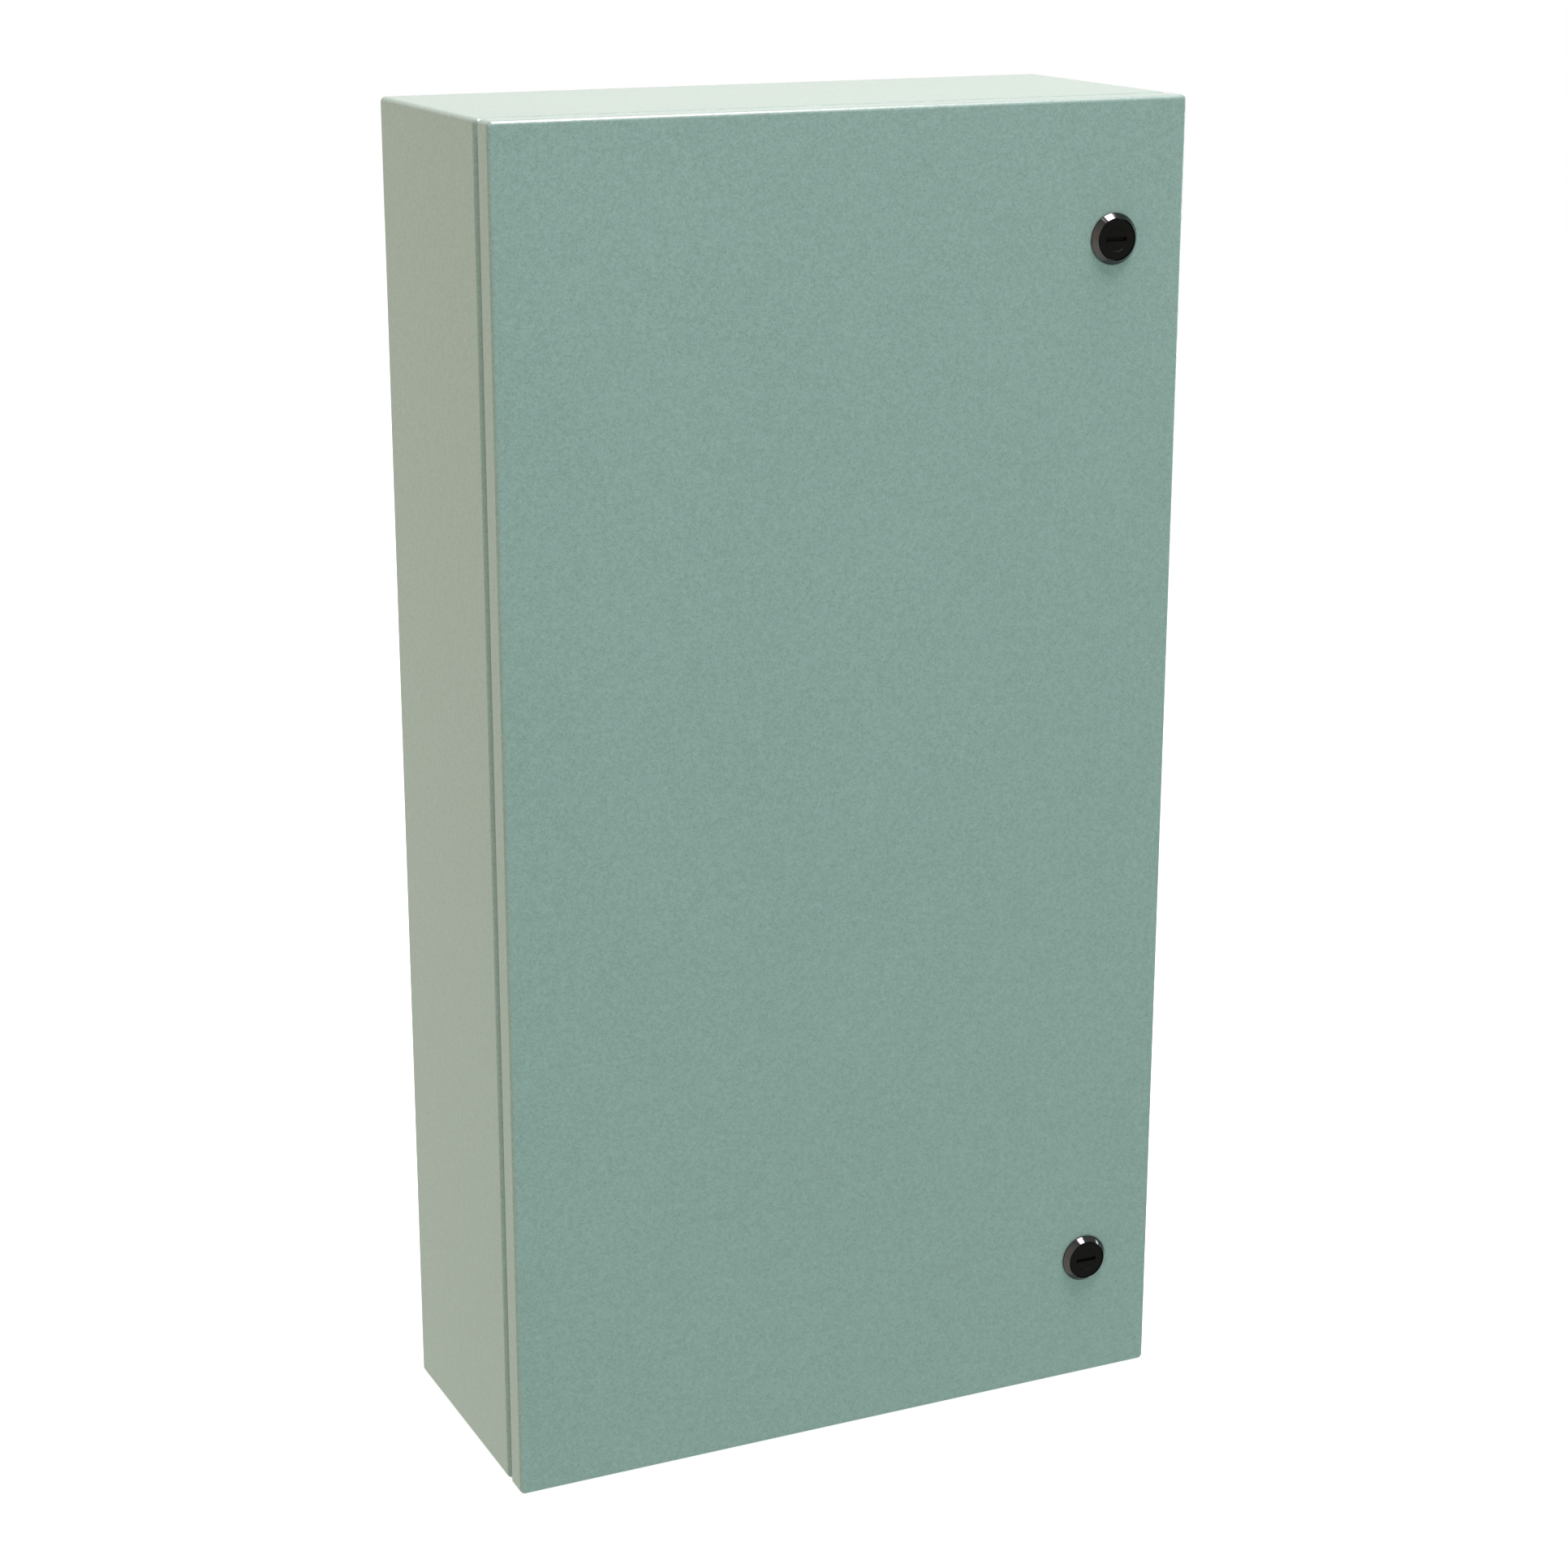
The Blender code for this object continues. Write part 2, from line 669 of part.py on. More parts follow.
def build_document_pocket(plastic):
    left = POCKET_INSET - WIDTH / 2
    bottom = POCKET_FROM_BOTTOM - HEIGHT / 2
    middle = left + POCKET_WIDTH / 2
    front = depth(SKIN_BACK + TOUCH)
    back = front + POCKET_DEPTH
    outline = moved(rounded_rectangle(POCKET_WIDTH, POCKET_DEPTH, POCKET_WALL), middle, (front + back) / 2)
    hollow_size = (POCKET_WIDTH - 2 * POCKET_WALL, POCKET_DEPTH - 2 * POCKET_WALL)
    hollow = moved(rounded_rectangle(*hollow_size, POCKET_WALL / 2), middle, (front + back) / 2)
    top = bottom + POCKET_HEIGHT
    pocket = loft("document_pocket", [at_z(outline, bottom), at_z(outline, top)], plastic)
    cut(pocket, "pocket_hollow", [(at_z(hollow, bottom + POCKET_WALL), at_z(hollow, top + POCKET_WALL))])
    notch = moved(circle(POCKET_NOTCH), middle, top)
    notch_ends = (at_y(notch, (front + back) / 2), at_y(notch, back + POCKET_WALL))
    cut(pocket, "pocket_notch", [notch_ends])
    return pocket


# Latches. Each is made round the Y axis, with y = 0 on the door's front face.


def build_latch_housing(name, chrome):
    mouth = DISC_RADIUS + TOUCH
    groove_inner = SEAL_INNER - TOUCH
    groove_outer = SEAL_INNER + SEAL_WIDTH + TOUCH
    groove = -TOUCH - SEAL_THICKNESS - TOUCH
    barrel = flatted_circle(BARREL_RADIUS, BARREL_FLATS)
    rings = [
        at_y(circle(mouth + DISC_RIM), -LATCH_HEIGHT),
        at_y(circle(LATCH_RADIUS), -LATCH_RIM),
        at_y(circle(LATCH_RADIUS), -TOUCH),
        at_y(circle(groove_outer), -TOUCH),
        at_y(circle(groove_outer), groove),
        at_y(circle(groove_inner), groove),
        at_y(circle(groove_inner), -TOUCH),
        at_y(barrel, -TOUCH),
        at_y(barrel, BARREL_END),
        at_y(circle(SPINDLE_RADIUS + TOUCH), BARREL_END),
        at_y(circle(SPINDLE_RADIUS + TOUCH), BARREL_END - BARREL_END_WALL),
        at_y(circle(ROTOR_RADIUS + TOUCH), BARREL_END - BARREL_END_WALL),
        at_y(circle(ROTOR_RADIUS + TOUCH), -DISC_SEAT),
        at_y(circle(mouth), -DISC_SEAT),
        at_y(circle(mouth), -LATCH_HEIGHT),
    ]
    return loft(name, rings, chrome, closed=True)


def build_latch_seal(name, rubber):
    outer = SEAL_INNER + SEAL_WIDTH
    front, back = -TOUCH - SEAL_THICKNESS, -TOUCH
    rings = [
        at_y(circle(outer), front),
        at_y(circle(outer), back),
        at_y(circle(SEAL_INNER), back),
        at_y(circle(SEAL_INNER), front),
    ]
    return loft(name, rings, rubber, closed=True)


def build_latch_nut(name, zinc):
    start = SKIN_BACK + TOUCH
    flats = regular(NUT_FLATS, 6, 2 * HARDWARE_ROUND)
    bore = circle(BARREL_RADIUS + TOUCH, 2 * HARDWARE_ROUND)
    rings = [
        at_y(flats, start),
        at_y(flats, start + NUT_THICKNESS),
        at_y(bore, start + NUT_THICKNESS),
        at_y(bore, start),
    ]
    return loft(name, rings, zinc, closed=True)


def build_latch_insert(name, black):
    """The slotted disc, the rotor in the barrel, the spindle and the square that carries the cam."""
    face = TOUCH - LATCH_HEIGHT
    shoulder = -DISC_SEAT - TOUCH
    rotor_end = BARREL_END - BARREL_END_WALL - TOUCH
    square_end = CAM_FRONT + CAM_THICKNESS - TOUCH
    rings = [
        at_y(circle(RECESS_RADIUS - RECESS), face + RECESS),
        at_y(circle(RECESS_RADIUS), face),
        at_y(circle(DISC_RADIUS - TOUCH), face),
        at_y(circle(DISC_RADIUS), face + TOUCH),
        at_y(circle(DISC_RADIUS), shoulder),
        at_y(circle(ROTOR_RADIUS), shoulder),
        at_y(circle(ROTOR_RADIUS), rotor_end),
        at_y(circle(SPINDLE_RADIUS), rotor_end),
        at_y(circle(SPINDLE_RADIUS), CAM_FRONT - TOUCH),
        at_y(regular(SQUARE, 4, ROUND), CAM_FRONT - TOUCH),
        at_y(regular(SQUARE, 4, ROUND), square_end),
    ]
    insert = loft(name, rings, black)
    slot = rounded_rectangle(SLOT_LENGTH, SLOT_WIDTH, SLOT_WIDTH / 4)
    screw_hole = circle(CAM_SCREW_RADIUS + TOUCH, SMALL_ROUND)
    hole_start = square_end - CAM_SCREW_DEPTH - 2 * TOUCH
    slot_ends = (at_y(slot, -LATCH_HEIGHT - SHEET), at_y(slot, face + SLOT_DEPTH))
    hole_ends = (at_y(screw_hole, hole_start), at_y(screw_hole, square_end + SHEET))
    return insert, cut(insert, f"{name}_cuts", [slot_ends, hole_ends])


def build_latch_cam(name, zinc):
    """A flat cam that points down while the latch is open."""
    tip_drop = CAM_LENGTH - CAM_TIP
    lean = math.asin((CAM_HUB - CAM_TIP) / tip_drop)
    outline = []
    for centre, radius, start, turn in (
        (0, CAM_HUB, -lean, math.pi + 2 * lean),
        (-tip_drop, CAM_TIP, math.pi + lean, math.pi - 2 * lean),
    ):
        for k in range(LOBE_STEPS + 1):
            angle = start + turn * k / LOBE_STEPS
            outline.append((radius * math.cos(angle), centre + radius * math.sin(angle)))
    cam = loft(name, [at_y(outline, CAM_FRONT), at_y(outline, CAM_FRONT + CAM_THICKNESS)], zinc)
    square = regular(SQUARE + 2 * TOUCH, 4, SMALL_ROUND)
    ends = (at_y(square, CAM_FRONT - SHEET), at_y(square, CAM_FRONT + CAM_THICKNESS + SHEET))
    return cam, cut(cam, f"{name}_square", [ends])


def build_cam_fixing(label, zinc):
    start = CAM_FRONT + CAM_THICKNESS + TOUCH
    end = start + CAM_WASHER
    outer = circle(CAM_WASHER_RADIUS, SMALL_ROUND)
    bore = circle(CAM_SCREW_RADIUS + TOUCH, SMALL_ROUND)
    washer = [at_y(outer, start), at_y(outer, end), at_y(bore, end), at_y(bore, start)]
    under_head = end + TOUCH
    head = regular(CAM_SCREW_FLATS, 6)
    shank = circle(CAM_SCREW_RADIUS, HARDWARE_ROUND)
    screw = [
        at_y(head, under_head + CAM_SCREW_HEAD),
        at_y(head, under_head),
        at_y(shank, under_head),
        at_y(shank, CAM_FRONT + CAM_THICKNESS - TOUCH - CAM_SCREW_DEPTH),
    ]
    return [
        loft(f"{label}_cam_washer", washer, zinc, closed=True),
        loft(f"{label}_cam_screw", screw, zinc),
    ]


def build_latch(side, height, finishes, door_axis):
    """One latch: the housing, seal and nut stay with the door, and the rest turns on its own axis."""
    place = Vector((LATCH_X, DOOR_FRONT, height))
    label = f"{side}_latch"
    insert = build_latch_insert(f"{label}_insert", finishes["black"])
    cam = build_latch_cam(f"{label}_cam", finishes["zinc"])
    fixed = [
        build_latch_housing(f"{label}_housing", finishes["chrome"]),
        build_latch_seal(f"{label}_seal", finishes["rubber"]),
        build_latch_nut(f"{label}_nut", finishes["zinc"]),
    ]
    turning = [*insert, *cam, *build_cam_fixing(label, finishes["zinc"])]
    latch_axis = axis_empty(f"{label}_axis", place, door_axis)
    for piece in fixed + turning:
        piece.location = place
    for piece in fixed:
        attach(piece, door_axis)
    for piece in turning:
        attach(piece, latch_axis)


def build_cabinet():
    clear_scene()
    finishes = {
        "paint": finish("grey_green_paint", display_colour(146, 164, 152), 0.5),
        "chrome": finish("dark_chrome", display_colour(92, 88, 88), 0.12, 1.0),
        "black": finish("black_insert", display_colour(24, 24, 22), 0.45),
        "zinc": finish("zinc_plate", display_colour(190, 192, 192), 0.35, 1.0),
        "galvanised": finish("galvanised_sheet", display_colour(176, 180, 182), 0.45, 1.0),
        "brass": finish("brass", display_colour(198, 164, 96), 0.3, 1.0),
        "rubber": finish("black_rubber", display_colour(32, 32, 33), 0.8),
        "foam": finish("foam_seal", display_colour(58, 58, 60), 0.9),
        "plastic": finish("grey_plastic", display_colour(178, 180, 176), 0.5),
    }
    build_body(finishes["paint"])
    build_wall_plugs(finishes["rubber"])
    build_gland_plate(finishes["paint"], finishes["foam"], finishes["zinc"])
    build_mounting_panel(finishes["galvanised"], finishes["zinc"])
    body_earth = (
        SHEET - WIDTH / 2,
        -BODY_EARTH_FROM_BACK,
        BODY_EARTH_FROM_BOTTOM - HEIGHT / 2,
    )
    build_earth_stud("body", finishes["zinc"], finishes["brass"], body_earth, -math.pi / 2)

    door_axis = axis_empty("door_hinge_axis", (*in_plan(PIN_INSET, PIN_DEPTH), 0))
    on_door = [
        build_door(finishes["paint"]),
        build_door_gasket(finishes["foam"]),
        build_document_pocket(finishes["plastic"]),
    ]
    door_earth = (
        DOOR_EARTH_INSET - WIDTH / 2,
        depth(SKIN_BACK),
        DOOR_EARTH_FROM_BOTTOM - HEIGHT / 2,
    )
    on_door += build_earth_stud("door", finishes["zinc"], finishes["brass"], door_earth, 0)
    for side, height in HINGE_HEIGHTS.items():
        build_hinge_arm(f"{side}_hinge_arm", height, finishes["zinc"])
        build_hinge_pin(f"{side}_hinge_pin", height, finishes["zinc"])
        on_door.append(build_hinge_leaf(f"{side}_hinge_leaf", height, finishes["zinc"]))
    for piece in on_door:
        attach(piece, door_axis)
    for side, height in LATCH_HEIGHTS.items():
        build_latch(side, height, finishes, door_axis)


build_cabinet()
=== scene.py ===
# %% [markdown]
# # A folded sheet-steel wall cabinet
# The real cabinet is a box of folded steel sheet with one hinged door, shut by two quarter-turn
# latches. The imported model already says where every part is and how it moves, so this lesson only gives
# the parts their looks: rounded folds, cut threads, rubber, zinc and a fine powder coat. The unit is
# the metre, +X is to the right, +Y goes into the wall and +Z is up. Everything is placed from the
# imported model, so it all fits.

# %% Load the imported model
import json
import math

import bmesh
import bpy
from mathutils import Matrix, Vector


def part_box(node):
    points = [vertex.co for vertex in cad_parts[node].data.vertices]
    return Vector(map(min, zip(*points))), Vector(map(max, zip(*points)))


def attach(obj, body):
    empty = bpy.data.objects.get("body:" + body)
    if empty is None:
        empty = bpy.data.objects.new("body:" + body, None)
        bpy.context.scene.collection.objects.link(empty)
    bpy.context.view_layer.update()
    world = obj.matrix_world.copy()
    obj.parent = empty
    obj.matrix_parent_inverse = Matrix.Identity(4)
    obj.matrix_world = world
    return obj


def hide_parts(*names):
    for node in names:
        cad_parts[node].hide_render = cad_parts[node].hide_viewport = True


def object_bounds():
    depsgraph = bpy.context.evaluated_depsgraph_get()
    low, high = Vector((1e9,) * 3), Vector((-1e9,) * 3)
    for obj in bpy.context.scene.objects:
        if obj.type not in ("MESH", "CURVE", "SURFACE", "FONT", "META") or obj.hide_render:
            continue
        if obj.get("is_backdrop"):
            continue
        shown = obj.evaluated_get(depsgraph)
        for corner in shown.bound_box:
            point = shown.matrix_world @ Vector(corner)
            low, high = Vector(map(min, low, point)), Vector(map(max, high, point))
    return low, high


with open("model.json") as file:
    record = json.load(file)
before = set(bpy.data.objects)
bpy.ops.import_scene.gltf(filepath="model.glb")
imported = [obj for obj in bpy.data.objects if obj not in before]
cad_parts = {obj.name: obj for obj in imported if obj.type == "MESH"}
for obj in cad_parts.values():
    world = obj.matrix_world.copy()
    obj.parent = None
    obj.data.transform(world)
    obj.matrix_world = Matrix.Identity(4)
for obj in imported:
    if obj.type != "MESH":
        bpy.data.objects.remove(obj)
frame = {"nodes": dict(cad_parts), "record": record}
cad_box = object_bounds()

MM = 0.001
TOUCH = 0.3 * MM  # gap that pieces keep where they touch
width, depth_overall, height = cad_box[1] - cad_box[0]
print(f"{len(frame['nodes'])} parts")
print(f"{width / MM:.1f} mm wide, {depth_overall / MM:.1f} mm deep, {height / MM:.1f} mm high")

# %% [markdown]
# ## Which body and which finish a part has
# A part's record names its material slot, and the joints say which body it moves with. Reading both
# here, once, means that no later step has to repeat them: a finer piece that stands for a part takes
# its body and slot.

# %% Read the bodies and slots
body_of = {node: body for body, nodes in frame["record"]["behaviour"]["bodies"].items() for node in nodes}
slot_of = {part["node"]: part["material_slot"] for part in frame["record"]["subparts"]}
finishes = {}


def stand_for(piece, node):
    """The piece takes the node's place, motion and finish."""
    piece.data.materials.clear()
    piece.data.materials.append(finishes[slot_of[node]])
    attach(piece, body_of[node])
    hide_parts(node)
    return piece


def middle_of(node):
    low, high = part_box(node)
    return (low + high) / 2


print(f"{len(set(body_of.values()))} bodies, {len(set(slot_of.values()))} finishes")

# %% [markdown]
# ## Shader maths as plain expressions
# A finish is a graph of nodes, and a long graph is hard to read as code. A small class wraps an output,
# and its operators add Math nodes, so `0.4 + 0.1 * noise` reads as what it does. Colours are mixed with
# Mix nodes, because a Math node would turn them grey.

# %% A value in a node tree


class Value:
    """One output of a node. Arithmetic on it adds Math nodes to the same tree."""

    def __init__(self, nodes, socket):
        self.nodes = nodes
        self.socket = socket

    def combine(self, operation, first, second):
        return self.nodes.node("ShaderNodeMath", {"operation": operation}, {0: first, 1: second})

    def __add__(self, other):
        return self.combine("ADD", self, other)

    def __mul__(self, other):
        return self.combine("MULTIPLY", self, other)

    __radd__ = __add__
    __rmul__ = __mul__


class Nodes:
    """A node tree, with one method that makes any node."""

    def __init__(self, tree):
        self.tree = tree

    def node(self, kind, settings=(), sockets=(), output=0):
        """Sets a new node's settings, then the values or links of its sockets, and returns one output."""
        made = self.tree.nodes.new(kind)
        for name, setting in dict(settings).items():
            setattr(made, name, setting)
        self.fill(made, dict(sockets))
        return Value(self, made.outputs[output])

    def fill(self, node, sockets):
        for name, given in sockets.items():
            if isinstance(given, Value):
                self.tree.links.new(given.socket, node.inputs[name])
            else:
                node.inputs[name].default_value = given

    def place(self):
        """The point on the surface, in metres: every mesh is drawn about the model's own origin."""
        return self.node("ShaderNodeTexCoord", output="Object")

    def noise(self, size, detail=2.0, roughness=0.5):
        """Soft random values about one half, with lumps of about this size."""
        sockets = {"Vector": self.place(), "Scale": 1 / size, "Detail": detail, "Roughness": roughness}
        return self.node("ShaderNodeTexNoise", {}, sockets)

    def cells(self, size, output="Distance"):
        """Random cells of about this size: the distance to each one's middle, or a colour for each."""
        sockets = {"Vector": self.place(), "Scale": 1 / size}
        return self.node("ShaderNodeTexVoronoi", {"feature": "F1"}, sockets, output)

    def mix(self, factor, first, second):
        """A blend of two colours."""
        sockets = {0: factor, 6: (*first, 1.0), 7: (*second, 1.0)}
        return self.node("ShaderNodeMix", {"data_type": "RGBA"}, sockets, output=2)

    def clamp(self, value, low, high):
        """Maps low to 0 and high to 1, and cuts off what lies outside."""
        sockets = {"Value": value, "From Min": low, "From Max": high}
        return self.node("ShaderNodeMapRange", {"clamp": True}, sockets)

    def bump(self, height_value, distance, strength=1.0):
        """A surface raised by distance, in metres, where height_value is 1."""
        sockets = {"Height": height_value, "Distance": distance, "Strength": strength}
        return self.node("ShaderNodeBump", {}, sockets)


def finish(slot, constants, build):
    """Makes a slot's material. constants are the shader's fixed sockets, and build returns what varies."""
    material = bpy.data.materials.new(slot + "_finish")
    material.use_nodes = True
    nodes = Nodes(material.node_tree)
    shader = material.node_tree.nodes["Principled BSDF"]
    nodes.fill(shader, constants)
    varying = build(nodes)
    nodes.fill(shader, varying)
    finishes[slot] = material
    print(f"{slot}: {len(material.node_tree.nodes)} nodes, varying {', '.join(varying)}")


def shade(colour, factor):
    return tuple(channel * factor for channel in colour)


print("finishes are written with Value and Nodes")

# %% [markdown]
# ## Powder coat
# The cabinet is sprayed with dry powder that melts in an oven. The film flows into a fine orange peel
# about a millimetre across, and the powder's grains stay just visible as specks, gathered in a soft
# mottle. A flat colour looks like plastic, so the same noises drive colour, roughness and bump. The
# colour is lighter on the raised peel and specks and darker in their hollows: that is painted light and
# shade, because a bump alone vanishes in soft light. The mottle and the large patches are random tone.
# A thin clear layer on top catches the light at the bends.

# %% Grey-green paint
PAINT = (0.143, 0.226, 0.212)
PEEL = 1.1 * MM
SPECK = 0.5 * MM
MOTTLE = 2.4 * MM
PATCH = 90 * MM
PEEL_HEIGHT = 0.2 * MM


def powder_coat(nodes):
    peel = nodes.noise(PEEL, detail=1.0)
    speck = nodes.noise(SPECK, detail=1.0, roughness=0.6)
    mottle = nodes.noise(MOTTLE, detail=1.0)
    patch = nodes.noise(PATCH, detail=3.0)
    # The tone is lighter on the raised peel and specks and darker in their hollows, as painted light and
    # shade; the mottle and patch add random tone.
    tone = nodes.clamp(0.4 * peel + 0.3 * speck + 0.25 * mottle + 0.05 * patch, 0.32, 0.68)
    return {
        "Base Color": nodes.mix(tone, shade(PAINT, 0.78), shade(PAINT, 1.22)),
        "Roughness": 0.27 + 0.1 * peel + 0.02 * patch,
        "Normal": nodes.bump(0.7 * peel + 0.3 * speck, PEEL_HEIGHT, 0.9),
    }


finish("cabinet_paint", {"IOR": 1.5, "Coat Weight": 0.2, "Coat Roughness": 0.25}, powder_coat)

# %% [markdown]
# ## Metals
# The latch flanges are dark chrome, smooth enough to mirror the lights. The hidden hardware is zinc
# plated, which is bright with a faint cloudiness, and the mounting panel is hot-dip galvanised sheet,
# whose zinc grows in flat crystals that each reflect a little differently. Cells from a Voronoi texture
# give those crystals.

# %% Dark chrome, zinc plate, galvanised sheet and brass
CHROME = (0.060, 0.061, 0.066)
ZINC = (0.56, 0.58, 0.60)
ZINC_WARM = (0.62, 0.61, 0.56)
GALVANISED = ((0.41, 0.43, 0.45), (0.54, 0.56, 0.58))  # darkest and lightest crystal
BRASS = (0.60, 0.42, 0.17)
SPANGLE = 9 * MM


def dark_chrome(nodes):
    cloud = nodes.noise(3 * MM, detail=3.0)
    return {
        "Base Color": nodes.mix(cloud, shade(CHROME, 0.85), shade(CHROME, 1.15)),
        "Roughness": 0.07 + 0.08 * cloud,
    }


def zinc_plate(nodes):
    cloud = nodes.noise(6 * MM, detail=4.0)
    brushed = nodes.noise(0.4 * MM, detail=2.0)
    return {
        "Base Color": nodes.mix(cloud, shade(ZINC, 0.82), ZINC_WARM),
        "Roughness": 0.26 + 0.16 * cloud + 0.05 * brushed,
        "Normal": nodes.bump(brushed, 0.01 * MM, 0.5),
    }


def galvanised_sheet(nodes):
    warp = nodes.noise(14 * MM, detail=2.0)
    crystal = nodes.cells(SPANGLE, output="Color")
    tone = nodes.node("ShaderNodeSeparateColor", {}, {"Color": crystal}, output="Red")
    blend = nodes.clamp(0.7 * tone + 0.3 * warp, 0.1, 0.9)
    return {
        "Base Color": nodes.mix(blend, *GALVANISED),
        "Roughness": 0.38 + 0.16 * tone,
        "Normal": nodes.bump(nodes.noise(1.5 * MM, detail=3.0), 0.015 * MM, 0.5),
    }


def plain_brass(nodes):
    cloud = nodes.noise(4 * MM, detail=3.0)
    return {
        "Base Color": nodes.mix(cloud, shade(BRASS, 0.8), shade(BRASS, 1.1)),
        "Roughness": 0.24 + 0.16 * cloud,
    }


finish("dark_chrome", {"Metallic": 1.0}, dark_chrome)
finish("zinc_plate", {"Metallic": 1.0}, zinc_plate)
finish("galvanised_sheet", {"Metallic": 1.0}, galvanised_sheet)
finish("brass", {"Metallic": 1.0}, plain_brass)

# %% [markdown]
# ## Black, rubber, foam and plastic
# These four are dark or dull, so their texture shows mostly in the highlight. The foamed seal is poured
# as a liquid and sets with a skin full of small pores, so it gets a coarse bump, and its colour is darker
# in the pores as painted shade. The moulded pocket has the fine, even graining of a mould.

# %% Latch insert, rubber, foam and pocket
INSERT = ((0.0030, 0.0030, 0.0027), (0.0044, 0.0044, 0.0040))  # each is a darkest and a lightest tone
RUBBER = ((0.011, 0.011, 0.012), (0.020, 0.020, 0.021))
FOAM = ((0.022, 0.022, 0.024), (0.052, 0.052, 0.055))
POCKET = ((0.42, 0.43, 0.41), (0.49, 0.50, 0.47))
PORE = 1.3 * MM


def black_insert(nodes):
    grain = nodes.noise(0.5 * MM, detail=2.0)
    return {
        "Base Color": nodes.mix(grain, *INSERT),
        "Roughness": 0.42 + 0.12 * grain,
        "Normal": nodes.bump(grain, 0.02 * MM, 0.4),
    }


def black_rubber(nodes):
    grain = nodes.noise(0.7 * MM, detail=3.0)
    return {
        "Base Color": nodes.mix(grain, *RUBBER),
        "Roughness": 0.6 + 0.15 * grain,
        "Normal": nodes.bump(grain, 0.03 * MM, 0.5),
    }


def foam_seal(nodes):
    pores = nodes.cells(PORE)
    lump = nodes.noise(5 * MM, detail=3.0)
    return {
        # The colour is darkest in the pores, where the bump dips: painted shade.
        "Base Color": nodes.mix(nodes.clamp(pores, 0.0, 0.7), *FOAM),
        "Roughness": 0.78 + 0.15 * lump,
        "Normal": nodes.bump(0.6 * pores + 0.4 * lump, 0.15 * MM, 0.7),
    }


def pocket_plastic(nodes):
    grain = nodes.noise(0.8 * MM, detail=2.0)
    haze = nodes.noise(40 * MM, detail=2.0)
    return {
        "Base Color": nodes.mix(haze, *POCKET),
        "Roughness": 0.44 + 0.12 * grain,
        "Normal": nodes.bump(grain, 0.03 * MM, 0.5),
    }


finish("black_insert", {"IOR": 1.45, "Specular IOR Level": 0.06}, black_insert)
finish("black_rubber", {"IOR": 1.5}, black_rubber)
finish("foam_seal", {"IOR": 1.45}, foam_seal)
finish("pocket_plastic", {"IOR": 1.46}, pocket_plastic)
for part_name, part in frame["nodes"].items():
    part.data.materials.clear()
    part.data.materials.append(finishes[slot_of[part_name]])
print(f"{len(finishes)} finishes on {len(frame['nodes'])} parts")

# %% [markdown]
# ## Outlines and closed shapes
# Nearly every part here is a row of outlines joined into a skin: a nut is a hexagon carried along its
# axis, and the folded body is a section carried round the cabinet. One loft function makes them all, as
# closed shapes with nothing loose. Shapes are drawn along +Y and then turned and moved to their place.

# %% Outlines
ROUND = 48
SMOOTH_UNDER = math.radians(35)


def circle(radius, count=ROUND):
    return [(radius * math.cos(a), radius * math.sin(a)) for a in turn_steps(count)]


def turn_steps(count):
    return [2 * math.pi * k / count for k in range(count)]


def polygon(across_flats, sides, corner_radius=math.inf, count=ROUND):
    """A regular polygon whose corners are cut back to corner_radius, as a chamfer cuts those of a nut."""
    points = []
    sector = 2 * math.pi / sides
    for angle in turn_steps(count):
        off_middle = angle % sector - sector / 2
        reach = across_flats / 2 / math.cos(sector / 2 - abs(off_middle))
        reach = min(reach, corner_radius)
        points.append((reach * math.cos(angle), reach * math.sin(angle)))
    return points


def with_flats(outline, flats):
    """The outline with a flat on its left and on its right."""
    half = flats / 2
    return [(max(-half, min(half, x)), z) for x, z in outline]


def rounded_rectangle(across, up, radius, steps=8):
    points = []
    for side, level, start in ((1, 1, 0.0), (-1, 1, 0.5), (-1, -1, 1.0), (1, -1, 1.5)):
        centre = (side * (across / 2 - radius), level * (up / 2 - radius))
        for k in range(steps + 1):
            angle = math.pi * (start + 0.5 * k / steps)
            points.append((centre[0] + radius * math.cos(angle), centre[1] + radius * math.sin(angle)))
    return points


def shifted(outline, across, up):
    return [(x + across, z + up) for x, z in outline]


def at(outline, along):
    """The outline as points in space, standing across the Y axis."""
    return [Vector((x, along, z)) for x, z in outline]


print(f"a {ROUND}-sided circle is within {(1 - math.cos(math.pi / ROUND)) * 100:.2f}% of round")

# %% Closed shapes


def object_of(name, bm):
    bmesh.ops.recalc_face_normals(bm, faces=bm.faces)
    mesh = bpy.data.meshes.new(name)
    bm.to_mesh(mesh)
    bm.free()
    mesh.shade_smooth()
    mesh.set_sharp_from_angle(angle=SMOOTH_UNDER)
    piece = bpy.data.objects.new(name, mesh)
    bpy.context.scene.collection.objects.link(piece)
    return piece


def add_loft(bm, rings, closed):
    loops = [[bm.verts.new(point) for point in ring] for ring in rings]
    followers = loops[1:] + loops[:1] if closed else loops[1:]
    for ring, following in zip(loops, followers):
        for k in range(len(ring)):
            after = (k + 1) % len(ring)
            bm.faces.new((ring[k], ring[after], following[after], following[k]))
    if not closed:
        bm.faces.new(loops[0])
        bm.faces.new(loops[-1])


def loft(name, rings, closed=False):
    """Joins rings of points. A closed loft ends at its first ring, an open one is capped."""
    bm = bmesh.new()
    add_loft(bm, rings, closed)
    return object_of(name, bm)


def settle(piece):
    """Turns the modifiers into the piece's own mesh."""
    graph = bpy.context.evaluated_depsgraph_get()
    mesh = bpy.data.meshes.new_from_object(piece.evaluated_get(graph))
    piece.modifiers.clear()
    piece.data = mesh
    return piece


